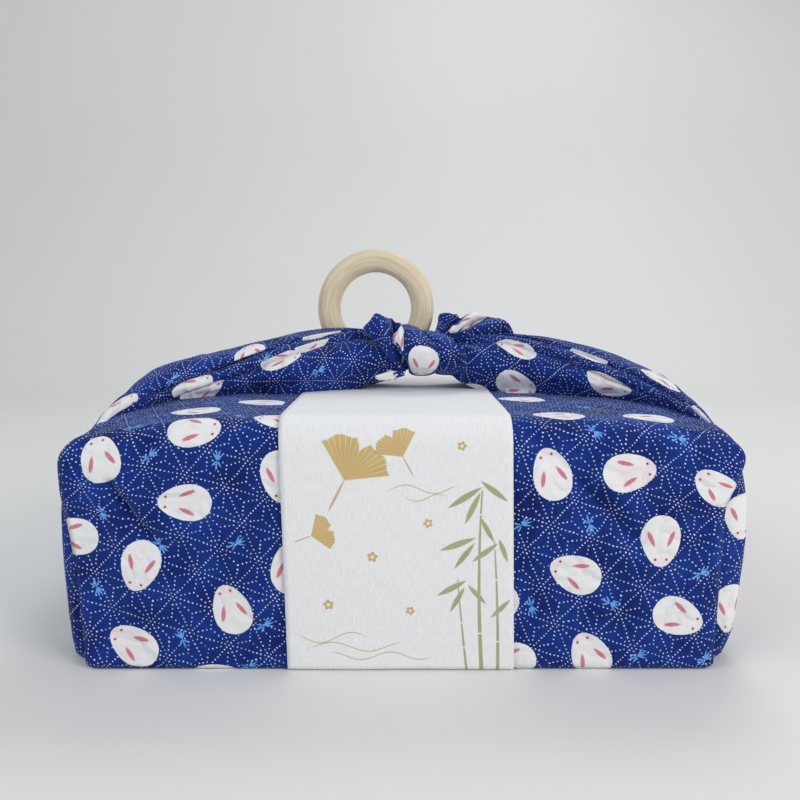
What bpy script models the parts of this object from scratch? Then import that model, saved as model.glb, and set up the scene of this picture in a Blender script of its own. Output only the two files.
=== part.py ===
"""Furoshiki parcel: a printed cotton square wrapped round a flat box and knotted on top of it, with a paper
belly band under the knot and a turned wooden ring held in the knot. Metres, +Z up, front towards -Y."""

import math
from collections import namedtuple

import bmesh
import bpy
import numpy as np

EdgeRow = namedtuple("EdgeRow", "z left right left_bulge right_bulge left_pocket right_pocket")
CornerRow = namedtuple("CornerRow", "out back pocket bulge")
Crease = namedtuple("Crease", "x0 z0 x1 z1 depth half_width")
ArmRow = namedtuple("ArmRow", "x front back ridge_y ridge_z under_z")
Pleat = namedtuple("Pleat", "x_outer turn_outer x_inner turn_inner depth")
KnotRow = namedtuple("KnotRow", "x y z half_y half_z")
TailRow = namedtuple("TailRow", "x y z half_width half_thickness")

# Driving sizes of the wrapped box
HALF_DEPTH = 0.120
TOP_Z = 0.1195
TOP_ROUND = 0.012
BASE_ROUND = 0.003
BASE_STEP_Z = 0.0008
BASE_STEP_INSET = 0.001
TOP_INSETS = (0.022, 0.036, 0.054, 0.074, 0.100)
FRONT_MARGIN = 0.003
PANEL_SKIN = 0.0001
# The right end bulges further than the left, so the middle of the whole lies off the middle of the box
BOX_TO_ORIGIN_X = -0.0035

# Belly band
BAND_HALF_WIDTH = 0.0532
BAND_MIDDLE_X = 0.0004
BAND_THICKNESS = 0.001
BAND_LEAN = -0.0025 / 0.120
BAND_OFF_CLOTH = 0.0005
BAND_CORNER = 0.003
# The gap in which the band lies, where it passes under the arms and under the base
TUNNEL_OFF_CLOTH = 0.0002
TUNNEL_SIDE = 0.0006
TUNNEL_ABOVE = 0.0004
TUNNEL_BASE_Z = 0.0013
TUNNEL_CORNER = 0.0045

# Wooden ring, standing across the parcel
RING_MAJOR = 0.02815
RING_MINOR = 0.00685
RING_FLATTEN = 0.90
RING_X = -0.0146
RING_Y = 0.010
RING_Z = 0.168
RING_CLEARANCE = 0.0005
RING_STEPS = 64
RING_SECTION_STEPS = 16

# Upright edges, by height: reach of the front panel to the left and right, how far the cloth of each end
# stands out beyond it, and how deep the pocket between the two is, from 0 to 1
EDGE_ROWS = (
    EdgeRow(0.0000, 0.1462, 0.1478, 0.0000, 0.0000, 0.0, 0.0),
    EdgeRow(0.0100, 0.1484, 0.1490, 0.0025, 0.0045, 0.2, 0.3),
    EdgeRow(0.0350, 0.1500, 0.1502, 0.0045, 0.0120, 0.8, 1.0),
    EdgeRow(0.0600, 0.1515, 0.1500, 0.0050, 0.0135, 0.8, 1.0),
    EdgeRow(0.0820, 0.1540, 0.1500, 0.0040, 0.0120, 0.6, 1.0),
    EdgeRow(0.0950, 0.1552, 0.1550, 0.0030, 0.0070, 0.3, 0.5),
    EdgeRow(0.1070, 0.1552, 0.1580, 0.0020, 0.0030, 0.1, 0.1),
    EdgeRow(0.1195, 0.1550, 0.1580, 0.0000, 0.0000, 0.0, 0.0),
)
# Plan of one upright edge, from the front panel round to the end: steps out and back from the panel's edge,
# with the share of the pocket's depth and of the end's bulge that each takes
CORNER_ROWS = (
    CornerRow(0.0000, 0.0012, 0.0, 0.00),
    CornerRow(-0.0008, 0.0042, -0.0040, 0.00),
    CornerRow(-0.0020, 0.0075, -0.0060, 0.00),
    CornerRow(-0.0010, 0.0095, -0.0020, 0.35),
    CornerRow(0.0000, 0.0130, 0.0, 0.80),
    CornerRow(0.0000, 0.0200, 0.0, 1.00),
)

# Creases drawn into the panels by the pull of the knot: ends along the panel and up it, depth and half-width
FRONT_CREASES = (
    Crease(-0.132, 0.094, -0.119, 0.070, 0.0035, 0.006),
    Crease(-0.121, 0.074, -0.092, 0.038, 0.0022, 0.011),
    Crease(0.064, 0.112, 0.093, 0.086, 0.0018, 0.010),
    Crease(0.090, 0.089, 0.114, 0.064, 0.0026, 0.010),
    Crease(0.128, 0.100, 0.137, 0.070, 0.0016, 0.008),
)
BACK_CREASES = (
    Crease(0.128, 0.098, 0.104, 0.062, 0.0030, 0.008),
    Crease(-0.070, 0.112, -0.104, 0.078, 0.0022, 0.010),
    Crease(-0.126, 0.090, -0.112, 0.052, 0.0026, 0.009),
)
# The same on the two ends, along y, where the cloth is drawn up into the arms
LEFT_END_CREASES = (
    Crease(-0.082, 0.012, -0.046, 0.116, 0.0026, 0.009),
    Crease(0.078, 0.010, 0.040, 0.116, 0.0030, 0.010),
    Crease(-0.034, 0.050, -0.014, 0.118, 0.0020, 0.008),
    Crease(0.030, 0.062, 0.010, 0.118, 0.0018, 0.008),
)
RIGHT_END_CREASES = (
    Crease(-0.080, 0.008, -0.058, 0.116, 0.0030, 0.010),
    Crease(0.084, 0.014, 0.034, 0.116, 0.0026, 0.010),
    Crease(-0.026, 0.040, -0.020, 0.118, 0.0022, 0.008),
    Crease(0.040, 0.070, 0.008, 0.118, 0.0018, 0.008),
)

# The two gathered arms, by distance from the middle: front and back foot, ridge, and underside
LEFT_ARM = (
    ArmRow(-0.1530, -0.096, 0.096, -0.040, 0.1185, 0.110),
    ArmRow(-0.1490, -0.095, 0.094, -0.040, 0.1245, 0.112),
    ArmRow(-0.1400, -0.076, 0.084, -0.034, 0.1335, 0.115),
    ArmRow(-0.1220, -0.053, 0.064, -0.024, 0.1400, 0.116),
    ArmRow(-0.1030, -0.043, 0.052, -0.016, 0.1450, 0.116),
    ArmRow(-0.0820, -0.037, 0.046, -0.010, 0.1495, 0.116),
    ArmRow(-0.0590, -0.036, 0.042, -0.004, 0.1537, 0.117),
    ArmRow(-0.0380, -0.026, 0.038, 0.000, 0.1552, 0.119),
    ArmRow(-0.0180, -0.020, 0.032, 0.003, 0.1552, 0.123),
    ArmRow(0.0000, -0.018, 0.026, 0.004, 0.1520, 0.130),
    ArmRow(0.0120, -0.010, 0.018, 0.004, 0.1470, 0.135),
)
RIGHT_ARM = (
    ArmRow(0.1560, -0.098, 0.096, -0.040, 0.1180, 0.110),
    ArmRow(0.1510, -0.100, 0.094, -0.055, 0.1240, 0.112),
    ArmRow(0.1430, -0.090, 0.084, -0.042, 0.1325, 0.115),
    ArmRow(0.1300, -0.068, 0.070, -0.030, 0.1390, 0.116),
    ArmRow(0.1150, -0.056, 0.058, -0.022, 0.1447, 0.116),
    ArmRow(0.0950, -0.045, 0.050, -0.014, 0.1495, 0.116),
    ArmRow(0.0720, -0.032, 0.042, -0.004, 0.1525, 0.117),
    ArmRow(0.0530, -0.024, 0.036, 0.000, 0.1535, 0.119),
    ArmRow(0.0400, -0.020, 0.032, 0.003, 0.1535, 0.123),
    ArmRow(0.0280, -0.018, 0.026, 0.004, 0.1515, 0.130),
    ArmRow(0.0160, -0.010, 0.018, 0.004, 0.1470, 0.135),
)
# Pleats in the arms, from front to back: place round the section (0 at the front foot, 1 at the back foot)
# at an outer and an inner station, and the depth at which the lower fold slips under the upper one
LEFT_PLEATS = (
    Pleat(-0.128, 0.05, -0.025, 0.40, 0.0045),
    Pleat(-0.148, 0.14, -0.036, 0.50, 0.0036),
    Pleat(-0.148, 0.66, -0.030, 0.64, 0.0034),
    Pleat(-0.146, 0.88, -0.030, 0.80, 0.0042),
)
RIGHT_PLEATS = (
    Pleat(0.150, 0.06, 0.060, 0.38, 0.0045),
    Pleat(0.150, 0.17, 0.062, 0.49, 0.0034),
    Pleat(0.150, 0.62, 0.050, 0.63, 0.0036),
    Pleat(0.148, 0.85, 0.050, 0.80, 0.0042),
)
# The fold on the ridge, which laps over its neighbours at the front and at the back
TOP_FOLD = 2
PLEAT_LAP = 0.012
PLEAT_SLIP = 3
PLEAT_SHARE = 0.45

# The knot's two lobes, by distance along the parcel: middle and half-sizes of each section
KNOT_LEAN = -0.28
KNOT_ROWS = (
    KnotRow(-0.0030, -0.004, 0.1380, 0.0100, 0.0060),
    KnotRow(0.0000, -0.005, 0.1400, 0.0165, 0.0100),
    KnotRow(0.0060, -0.005, 0.1415, 0.0215, 0.0125),
    KnotRow(0.0130, -0.005, 0.1425, 0.0240, 0.0138),
    KnotRow(0.0190, -0.005, 0.1430, 0.0235, 0.0135),
    KnotRow(0.0225, -0.004, 0.1430, 0.0208, 0.0118),
    KnotRow(0.0260, -0.004, 0.1435, 0.0225, 0.0128),
    KnotRow(0.0320, -0.003, 0.1430, 0.0215, 0.0128),
    KnotRow(0.0375, -0.002, 0.1420, 0.0180, 0.0110),
    KnotRow(0.0410, -0.001, 0.1410, 0.0120, 0.0080),
)
# The free ends of the cloth: middle of each section, its half-width and half-thickness
LEFT_TAIL = (
    TailRow(0.0050, -0.0180, 0.1320, 0.0040, 0.0035),
    TailRow(0.0010, -0.0190, 0.1380, 0.0068, 0.0045),
    TailRow(-0.0045, -0.0180, 0.1460, 0.0098, 0.0052),
    TailRow(-0.0085, -0.0155, 0.1545, 0.0112, 0.0055),
    TailRow(-0.0095, -0.0130, 0.1600, 0.0105, 0.0052),
    TailRow(-0.0095, -0.0120, 0.1632, 0.0090, 0.0036),
)
RIGHT_TAIL = (
    TailRow(0.0235, 0.0040, 0.1590, 0.0040, 0.0035),
    TailRow(0.0268, 0.0060, 0.1568, 0.0070, 0.0058),
    TailRow(0.0330, 0.0085, 0.1562, 0.0082, 0.0070),
    TailRow(0.0410, 0.0110, 0.1566, 0.0082, 0.0075),
    TailRow(0.0500, 0.0130, 0.1570, 0.0080, 0.0080),
    TailRow(0.0590, 0.0155, 0.1556, 0.0078, 0.0078),
    TailRow(0.0655, 0.0165, 0.1530, 0.0062, 0.0065),
    TailRow(0.0692, 0.0165, 0.1510, 0.0038, 0.0045),
)
LEFT_TAIL_SLOPE = -0.35
TAIL_RUFFLES = 3
TAIL_RUFFLE_DEPTH = 0.12

# Fineness of the faceted surfaces
FRONT_STEPS = 30
END_STEPS = 10
WALL_LEVELS = 12
ROUND_STEPS = 5
FOLD_STEPS = (5, 4, 6, 4, 5)
FOLD_GIRTH = 0.12
DOME_POWER = 0.8
ARM_STATIONS = 22
UNDER_STEPS = 4
SECTION_STEPS = 18


def smooth(xs, ys, x):
    """Smooth curve through the table's points, which run either way along xs."""
    if xs[0] > xs[-1]:
        xs, ys = xs[::-1], ys[::-1]
    slopes = np.gradient(ys, xs)
    i = int(np.clip(np.searchsorted(xs, x) - 1, 0, len(xs) - 2))
    span = xs[i + 1] - xs[i]
    t = min(max((x - xs[i]) / span, 0.0), 1.0)
    rise = (2 * t**3 - 3 * t**2 + 1) * ys[i] + (3 * t**2 - 2 * t**3) * ys[i + 1]
    return rise + span * ((t**3 - 2 * t**2 + t) * slopes[i] + (t**3 - t**2) * slopes[i + 1])


def reader(rows):
    """A function that reads any named column of the table at a value of its first column."""
    columns = dict(zip(rows[0]._fields, np.array(rows).T))
    keys = columns[rows[0]._fields[0]]
    return lambda name, at: smooth(keys, columns[name], at)


def trough(x, z, creases):
    """Depth of the creases at a point of a panel."""
    depth = 0.0
    for crease in creases:
        run = crease.x1 - crease.x0
        rise = crease.z1 - crease.z0
        along = ((x - crease.x0) * run + (z - crease.z0) * rise) / (run**2 + rise**2)
        near = min(max(along, 0.0), 1.0)
        away = math.hypot(x - crease.x0 - near * run, z - crease.z0 - near * rise)
        depth += crease.depth * math.exp(-((away / crease.half_width) ** 2))
    return depth


def in_mesh(name, points, faces):
    """A mesh object from shared points and faces."""
    mesh = bpy.data.meshes.new(name)
    mesh.from_pydata(points, [], faces)
    shape = bmesh.new()
    shape.from_mesh(mesh)
    bmesh.ops.triangulate(shape, faces=shape.faces)
    bmesh.ops.recalc_face_normals(shape, faces=shape.faces)
    shape.to_mesh(mesh)
    shape.free()
    return bpy.data.objects.new(name, mesh)


def loft(name, rings):
    """One closed body through rings of equal length, closed flat at both ends."""
    size = len(rings[0])
    points = [point for ring in rings for point in ring]
    faces = [tuple(range(size)), tuple(range(len(points) - size, len(points)))]
    for level in range(len(rings) - 1):
        for i in range(size):
            a = level * size + i
            b = level * size + (i + 1) % size
            faces.append((a, b, b + size, a + size))
    return in_mesh(name, points, faces)


def upright_edge(edge, side, front_or_back, z):
    """Plan of one upright edge, from the panel to the end. side is 1 at the right, front_or_back 1 at the back."""
    name = "right" if side > 0 else "left"
    reach = edge(name, z)
    bulge = edge(name + "_bulge", z)
    pocket = edge(name + "_pocket", z)
    points = []
    for row in CORNER_ROWS:
        x = side * (reach + row.out + row.pocket * pocket + row.bulge * bulge)
        points.append((x, front_or_back * (HALF_DEPTH - row.back)))
    return points


def plan_ring(edge, z):
    """Outline of the wrapped box at a height, counter-clockwise seen from above, from the front left."""
    left = edge("left", z) - FRONT_MARGIN
    right = edge("right", z) - FRONT_MARGIN
    front = [(x, -HALF_DEPTH) for x in np.linspace(-left, right, FRONT_STEPS)]
    back = [(x, HALF_DEPTH) for x in np.linspace(right, -left, FRONT_STEPS)]
    corner_end = HALF_DEPTH - CORNER_ROWS[-1].back
    inner = np.linspace(-corner_end, corner_end, END_STEPS + 1)[1:-1]
    right_x = edge("right", z) + edge("right_bulge", z)
    left_x = edge("left", z) + edge("left_bulge", z)
    right_end = [(right_x, y) for y in inner]
    left_end = [(-left_x, y) for y in inner[::-1]]
    return (
        front
        + upright_edge(edge, 1, -1, z)
        + right_end
        + upright_edge(edge, 1, 1, z)[::-1]
        + back
        + upright_edge(edge, -1, 1, z)
        + left_end
        + upright_edge(edge, -1, -1, z)[::-1]
    )


def wall_levels():
    """Heights and insets of the rings, from the base over the top's rounded edge to its middle."""
    levels = [(0.0, BASE_ROUND), (BASE_STEP_Z, BASE_STEP_INSET)]
    top_of_wall = TOP_Z - TOP_ROUND
    levels += [(z, 0.0) for z in np.linspace(BASE_ROUND, top_of_wall, WALL_LEVELS)]
    for step in range(1, ROUND_STEPS + 1):
        turn = step / ROUND_STEPS * math.pi / 2
        levels.append((top_of_wall + TOP_ROUND * math.sin(turn), TOP_ROUND * (1 - math.cos(turn))))
    levels += [(TOP_Z, inset) for inset in TOP_INSETS]
    return levels


def pressed(x, y, z):
    """A point of a panel or an end pressed in where a crease crosses it."""
    if z < BASE_ROUND or z > TOP_Z - BASE_ROUND:
        return (x, y)
    if abs(y) > HALF_DEPTH - PANEL_SKIN:
        creases = FRONT_CREASES if y < 0 else BACK_CREASES
        return (x, y - math.copysign(trough(x, z, creases), y))
    if abs(y) < HALF_DEPTH - CORNER_ROWS[-1].back:
        creases = LEFT_END_CREASES if x < 0 else RIGHT_END_CREASES
        return (x - math.copysign(trough(y, z, creases), x), y)
    return (x, y)


def wrapped_box():
    """The cloth over the box: panels, ends with their pockets, and top."""
    edge = reader(EDGE_ROWS)
    rings = []
    for z, inset in wall_levels():
        ring = []
        for x, y in plan_ring(edge, z):
            x, y = pressed(x, y, z)
            reach = edge("right" if x > 0 else "left", z)
            ring.append((x * (1 - inset / reach), y * (1 - inset / HALF_DEPTH), z))
        rings.append(ring)
    return loft("wrapped_box", rings)


def pleat_turns(x, pleats):
    """Where the pleats lie round the section at this station, from the front foot to the back foot."""
    turns = []
    for pleat in pleats:
        share = (x - pleat.x_outer) / (pleat.x_inner - pleat.x_outer)
        share = min(max(share, 0.0), 1.0)
        turns.append(pleat.turn_outer + share * (pleat.turn_inner - pleat.turn_outer))
    return turns


def fold_points(x, pleats):
    """Places round the section and how far each is drawn in, fold by fold."""
    bounds = [0.0, *pleat_turns(x, pleats), 1.0]
    depths = [0.0, *(pleat.depth for pleat in pleats), 0.0]
    points = []
    for fold in range(len(bounds) - 1):
        start = bounds[fold]
        end = bounds[fold + 1]
        slips_at_end = fold < TOP_FOLD
        slips_at_start = fold > TOP_FOLD
        if not slips_at_start and fold > 0:
            start -= PLEAT_LAP
        if not slips_at_end and fold < len(bounds) - 2:
            end += PLEAT_LAP
        most = PLEAT_SHARE * (end - start) * FOLD_GIRTH
        steps = FOLD_STEPS[fold]
        for step in range(steps + 1):
            share = step / steps
            drawn = 0.0
            if slips_at_end:
                drawn = min(depths[fold + 1], most) * share**PLEAT_SLIP
            if slips_at_start:
                drawn = min(depths[fold], most) * (1 - share) ** PLEAT_SLIP
            points.append((start + share * (end - start), drawn))
    return points


def arm_ring(arm, pleats, x):
    """Section of a gathered arm: a dome from the front foot over the ridge to the back foot, with its pleats."""
    front = arm("front", x)
    back = arm("back", x)
    ridge_y = arm("ridge_y", x)
    under_z = arm("under_z", x)
    rise = arm("ridge_z", x) - under_z
    ring = []
    for turn, drawn in fold_points(x, pleats):
        foot = ridge_y - front if turn < 0.5 else back - ridge_y
        y = ridge_y - (foot - drawn) * math.cos(turn * math.pi)
        z = under_z + (rise - drawn) * math.sin(turn * math.pi) ** DOME_POWER
        ring.append((x, y, z))
    for y in np.linspace(back, front, UNDER_STEPS + 2)[1:-1]:
        ring.append((x, y, under_z))
    return ring


def gathered_arm(name, rows, pleats):
    arm = reader(rows)
    even = np.linspace(0, len(rows) - 1, ARM_STATIONS)
    stations = np.interp(even, range(len(rows)), [row.x for row in rows])
    return loft(name, [arm_ring(arm, pleats, x) for x in stations])


def knot_lobes():
    rings = []
    for row in KNOT_ROWS:
        ring = []
        for step in range(SECTION_STEPS):
            turn = 2 * math.pi * step / SECTION_STEPS
            up = row.half_z * math.sin(turn)
            ring.append((row.x + KNOT_LEAN * up, row.y + row.half_y * math.cos(turn), row.z + up))
        rings.append(ring)
    return loft("knot_lobes", rings)


def tail_section(row):
    """Flattened oval with ruffled sides, as pairs across and through the cloth's end."""
    section = []
    for step in range(SECTION_STEPS):
        turn = 2 * math.pi * step / SECTION_STEPS
        ruffle = 1 + TAIL_RUFFLE_DEPTH * math.cos(TAIL_RUFFLES * turn)
        across = row.half_width * math.cos(turn) * ruffle
        through = row.half_thickness * math.sin(turn) * ruffle
        section.append((across, through))
    return section


def left_tail():
    """The blunt end that stands up from the knot's lower left."""
    rings = []
    for row in LEFT_TAIL:
        ring = []
        for across, through in tail_section(row):
            ring.append((row.x + across, row.y + through, row.z + LEFT_TAIL_SLOPE * across))
        rings.append(ring)
    return loft("left_tail", rings)


def right_tail():
    """The puffed end that lies back over the right arm."""
    rings = []
    for row in RIGHT_TAIL:
        rings.append([(row.x, row.y + through, row.z + across) for across, through in tail_section(row)])
    return loft("right_tail", rings)


def band_profile(off, base_z, corner):
    """Closed outline round the parcel at a distance off the cloth, as (y, z), from the base's front corner."""
    half = HALF_DEPTH + off
    top = TOP_Z + off
    round_top = TOP_ROUND + off
    outline = []
    centres = (
        (half - corner, base_z + corner, corner, -90),
        (half - round_top, top - round_top, round_top, 0),
        (-half + round_top, top - round_top, round_top, 90),
        (-half + corner, base_z + corner, corner, 180),
    )
    for y, z, radius, start in centres:
        for step in range(ROUND_STEPS + 1):
            turn = math.radians(start + 90 * step / ROUND_STEPS)
            outline.append((y + radius * math.cos(turn), z + radius * math.sin(turn)))
    return outline


def band_sheet(name, off, base_z, thickness, margin, corner):
    """The band's closed strip, made solid outwards from its inner face."""
    outline = band_profile(off, base_z, corner)
    points = []
    for side in (-1, 1):
        for y, z in outline:
            x = BAND_MIDDLE_X + side * (BAND_HALF_WIDTH + margin) + BAND_LEAN * z
            points.append((x, y, z))
    size = len(outline)
    faces = [(i, (i + 1) % size, (i + 1) % size + size, i + size) for i in range(size)]
    strip = in_mesh(name, points, faces)
    solid = strip.modifiers.new("paper_thickness", "SOLIDIFY")
    solid.thickness = thickness
    solid.offset = 1.0
    solid.use_even_offset = True
    return strip


def torus(name, grow):
    """The ring's shape, standing across the parcel."""
    bpy.ops.mesh.primitive_torus_add(
        major_segments=RING_STEPS,
        minor_segments=RING_SECTION_STEPS,
        major_radius=RING_MAJOR,
        minor_radius=RING_MINOR + grow,
        location=(0, 0, 0),
    )
    ring = bpy.context.object
    ring.name = name
    ring.data.name = name
    for vertex in ring.data.vertices:
        vertex.co.z *= RING_FLATTEN
    ring.rotation_euler = (math.pi / 2, 0, 0)
    ring.location = (RING_X, RING_Y, RING_Z)
    for collection in ring.users_collection:
        collection.objects.unlink(ring)
    return ring


def principled(name, colour, roughness):
    material = bpy.data.materials.new(name)
    material.use_nodes = True
    shader = material.node_tree.nodes["Principled BSDF"]
    shader.inputs["Base Color"].default_value = (*colour, 1.0)
    shader.inputs["Roughness"].default_value = roughness
    shader.inputs["Metallic"].default_value = 0.0
    return material


def combine(target, tool, operation, tools):
    """A Boolean of the target with a tool, which stays as a hidden wire shape."""
    tools.objects.link(tool)
    tool.hide_render = True
    tool.display_type = "WIRE"
    step = target.modifiers.new(operation.lower() + "_" + tool.name, "BOOLEAN")
    step.object = tool
    step.operation = operation
    step.solver = "EXACT"


def main():
    for obj in list(bpy.data.objects):
        bpy.data.objects.remove(obj, do_unlink=True)
    parts = bpy.data.collections.new("furoshiki_wrap")
    tools = bpy.data.collections.new("shaping_tools")
    for collection in (parts, tools):
        bpy.context.scene.collection.children.link(collection)

    cloth = wrapped_box()
    cloth.name = "wrap_cloth"
    joined = (
        gathered_arm("left_arm", LEFT_ARM, LEFT_PLEATS),
        gathered_arm("right_arm", RIGHT_ARM, RIGHT_PLEATS),
        knot_lobes(),
        left_tail(),
        right_tail(),
    )
    for shape in joined:
        combine(cloth, shape, "UNION", tools)
    tunnel_height = BAND_OFF_CLOTH - TUNNEL_OFF_CLOTH + BAND_THICKNESS + TUNNEL_ABOVE
    tunnel = band_sheet(
        "band_tunnel", TUNNEL_OFF_CLOTH, TUNNEL_BASE_Z, tunnel_height, TUNNEL_SIDE, TUNNEL_CORNER
    )
    combine(cloth, tunnel, "DIFFERENCE", tools)
    combine(cloth, torus("ring_tunnel", RING_CLEARANCE), "DIFFERENCE", tools)

    band = band_sheet("paper_band", BAND_OFF_CLOTH, BAND_THICKNESS, BAND_THICKNESS, 0.0, BAND_CORNER)
    ring = torus("wooden_ring", 0.0)
    ring.data.shade_smooth()

    looks = (
        (cloth, principled("printed_cotton", (0.02, 0.04, 0.30), 0.85)),
        (band, principled("white_paper", (0.75, 0.75, 0.75), 0.90)),
        (ring, principled("pale_wood", (0.62, 0.49, 0.33), 0.55)),
    )
    for piece, material in looks:
        parts.objects.link(piece)
        piece.data.materials.append(material)

    middle = bpy.data.objects.new("parcel_middle", None)
    middle.location = (BOX_TO_ORIGIN_X, 0, 0)
    parts.objects.link(middle)
    for shape in list(parts.objects) + list(tools.objects):
        if shape != middle:
            shape.parent = middle


main()
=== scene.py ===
"""Looks of a furoshiki parcel: printed cotton folded and knotted round a flat box, a paper belly band and a
turned wooden ring. Metres, +Z up, front towards -Y. The charts, which place the print, are in millimetres."""

import math
from collections import namedtuple

import bmesh
import bpy
import numpy as np
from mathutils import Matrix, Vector

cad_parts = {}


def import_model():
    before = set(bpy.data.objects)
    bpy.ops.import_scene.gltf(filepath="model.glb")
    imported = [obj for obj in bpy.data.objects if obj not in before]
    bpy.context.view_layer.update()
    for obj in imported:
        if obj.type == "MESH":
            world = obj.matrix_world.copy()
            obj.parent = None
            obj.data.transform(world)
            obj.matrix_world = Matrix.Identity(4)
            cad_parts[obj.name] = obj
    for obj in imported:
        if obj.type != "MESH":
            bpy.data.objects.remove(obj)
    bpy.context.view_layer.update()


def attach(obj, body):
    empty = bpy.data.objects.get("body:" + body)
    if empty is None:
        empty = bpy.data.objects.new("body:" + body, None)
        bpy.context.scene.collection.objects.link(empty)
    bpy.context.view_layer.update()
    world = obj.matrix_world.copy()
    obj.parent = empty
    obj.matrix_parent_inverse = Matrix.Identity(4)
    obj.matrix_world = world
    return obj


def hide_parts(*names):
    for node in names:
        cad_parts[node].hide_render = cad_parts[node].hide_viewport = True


EdgeRow = namedtuple("EdgeRow", "z left right left_bulge right_bulge left_pocket right_pocket")
CornerRow = namedtuple("CornerRow", "out back pocket bulge")
Crease = namedtuple("Crease", "x0 z0 x1 z1 depth half_width")
ArmRow = namedtuple("ArmRow", "x front back ridge_y ridge_z under_z")
Pleat = namedtuple("Pleat", "x_outer turn_outer x_inner turn_inner depth")
LobeRow = namedtuple("LobeRow", "turn left right reach")
RimRow = namedtuple("RimRow", "x y z puff")
Shoulder = namedtuple("Shoulder", "x y drop reach_x reach_y")
Leaf = namedtuple("Leaf", "u v length half_width turn")
Stem = namedtuple("Stem", "u height lean bend half_width joint_step")
Flow = namedtuple("Flow", "u0 u1 v height length phase")
Motif = namedtuple("Motif", "u v heading")
Patch = namedtuple("Patch", "name points u v")
Ripple = namedtuple("Ripple", "height size seed")
Light = namedtuple("Light", "name place size power tint")

SEED = 7
MM = 1000.0
WELD = 2e-5

# The wrapped box, as in the frame
HALF_DEPTH = 0.120
TOP_Z = 0.1195
TOP_ROUND = 0.012
BASE_ROUND = 0.003
BASE_STEP_Z = 0.0008
BASE_STEP_INSET = 0.001
BASE_LIFT = 0.0016
FRONT_MARGIN = 0.003
BOX_TO_ORIGIN_X = -0.0035
EDGE_ROWS = (
    EdgeRow(0.0000, 0.1484, 0.1480, 0.0116, 0.0095, 0.2, 0.2),
    EdgeRow(0.0100, 0.1492, 0.1492, 0.0118, 0.0138, 0.6, 0.6),
    EdgeRow(0.0350, 0.1506, 0.1497, 0.0122, 0.0168, 1.0, 1.1),
    EdgeRow(0.0600, 0.1530, 0.1492, 0.0105, 0.0183, 1.0, 1.2),
    EdgeRow(0.0820, 0.1560, 0.1502, 0.0060, 0.0160, 0.7, 1.2),
    EdgeRow(0.0950, 0.1570, 0.1546, 0.0022, 0.0090, 0.3, 0.6),
    EdgeRow(0.1070, 0.1570, 0.1584, 0.0005, 0.0020, 0.1, 0.1),
    EdgeRow(0.1195, 0.1566, 0.1584, 0.0000, 0.0000, 0.0, 0.0),
)
# How far the cloth falls short of the top at the four corners, where nothing inside holds it up
SHOULDERS = (
    Shoulder(-0.158, -0.120, 0.0085, 0.042, 0.060),
    Shoulder(0.158, -0.120, 0.0068, 0.040, 0.048),
    Shoulder(0.156, 0.120, 0.0070, 0.050, 0.050),
    Shoulder(-0.155, 0.120, 0.0080, 0.050, 0.060),
)
SHOULDER_FROM_Z = 0.070
SHOULDER_RISE = 0.035
CORNER_ROWS = (
    CornerRow(0.0000, 0.0012, 0.0, 0.00),
    CornerRow(-0.0008, 0.0042, -0.0040, 0.00),
    CornerRow(-0.0020, 0.0075, -0.0060, 0.00),
    CornerRow(-0.0010, 0.0095, -0.0020, 0.35),
    CornerRow(0.0000, 0.0130, 0.0, 0.80),
    CornerRow(0.0000, 0.0200, 0.0, 1.00),
)
FRONT_CREASES = (
    Crease(-0.1340, 0.0950, -0.1292, 0.0845, 0.0042, 0.0022),
    Crease(-0.1292, 0.0845, -0.1242, 0.0750, 0.0052, 0.0024),
    Crease(-0.1242, 0.0750, -0.1165, 0.0655, 0.0042, 0.0026),
    Crease(-0.1165, 0.0655, -0.0930, 0.0430, 0.0018, 0.0070),
    Crease(-0.1245, 0.0890, -0.1080, 0.0650, -0.0020, 0.0045),
    Crease(-0.1400, 0.0860, -0.1310, 0.0680, -0.0016, 0.0060),
    Crease(-0.0930, 0.0430, -0.0700, 0.0100, 0.0016, 0.0120),
    Crease(-0.1480, 0.0560, -0.1300, 0.0200, 0.0015, 0.0090),
    Crease(0.0600, 0.1120, 0.0820, 0.0925, 0.0024, 0.0060),
    Crease(0.0820, 0.0925, 0.0970, 0.0775, 0.0050, 0.0036),
    Crease(0.0970, 0.0775, 0.1080, 0.0640, 0.0040, 0.0040),
    Crease(0.0900, 0.0930, 0.1080, 0.0750, -0.0022, 0.0050),
    Crease(0.128, 0.100, 0.137, 0.070, 0.0016, 0.008),
)
BACK_CREASES = (
    Crease(0.128, 0.098, 0.104, 0.062, 0.0030, 0.008),
    Crease(-0.070, 0.112, -0.104, 0.078, 0.0022, 0.010),
    Crease(-0.126, 0.090, -0.112, 0.052, 0.0026, 0.009),
)
LEFT_END_CREASES = (
    Crease(-0.088, 0.010, -0.066, 0.060, 0.0034, 0.0045),
    Crease(-0.066, 0.060, -0.036, 0.116, 0.0042, 0.0040),
    Crease(-0.078, 0.012, -0.054, 0.064, -0.0018, 0.0070),
    Crease(0.086, 0.012, 0.062, 0.068, 0.0034, 0.0045),
    Crease(0.062, 0.068, 0.036, 0.116, 0.0044, 0.0040),
    Crease(0.074, 0.016, 0.050, 0.066, -0.0016, 0.0070),
    Crease(-0.030, 0.060, -0.014, 0.118, 0.0028, 0.0050),
    Crease(0.026, 0.070, 0.010, 0.118, 0.0024, 0.0045),
    Crease(-0.008, 0.084, 0.000, 0.118, 0.0020, 0.0040),
)
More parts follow.
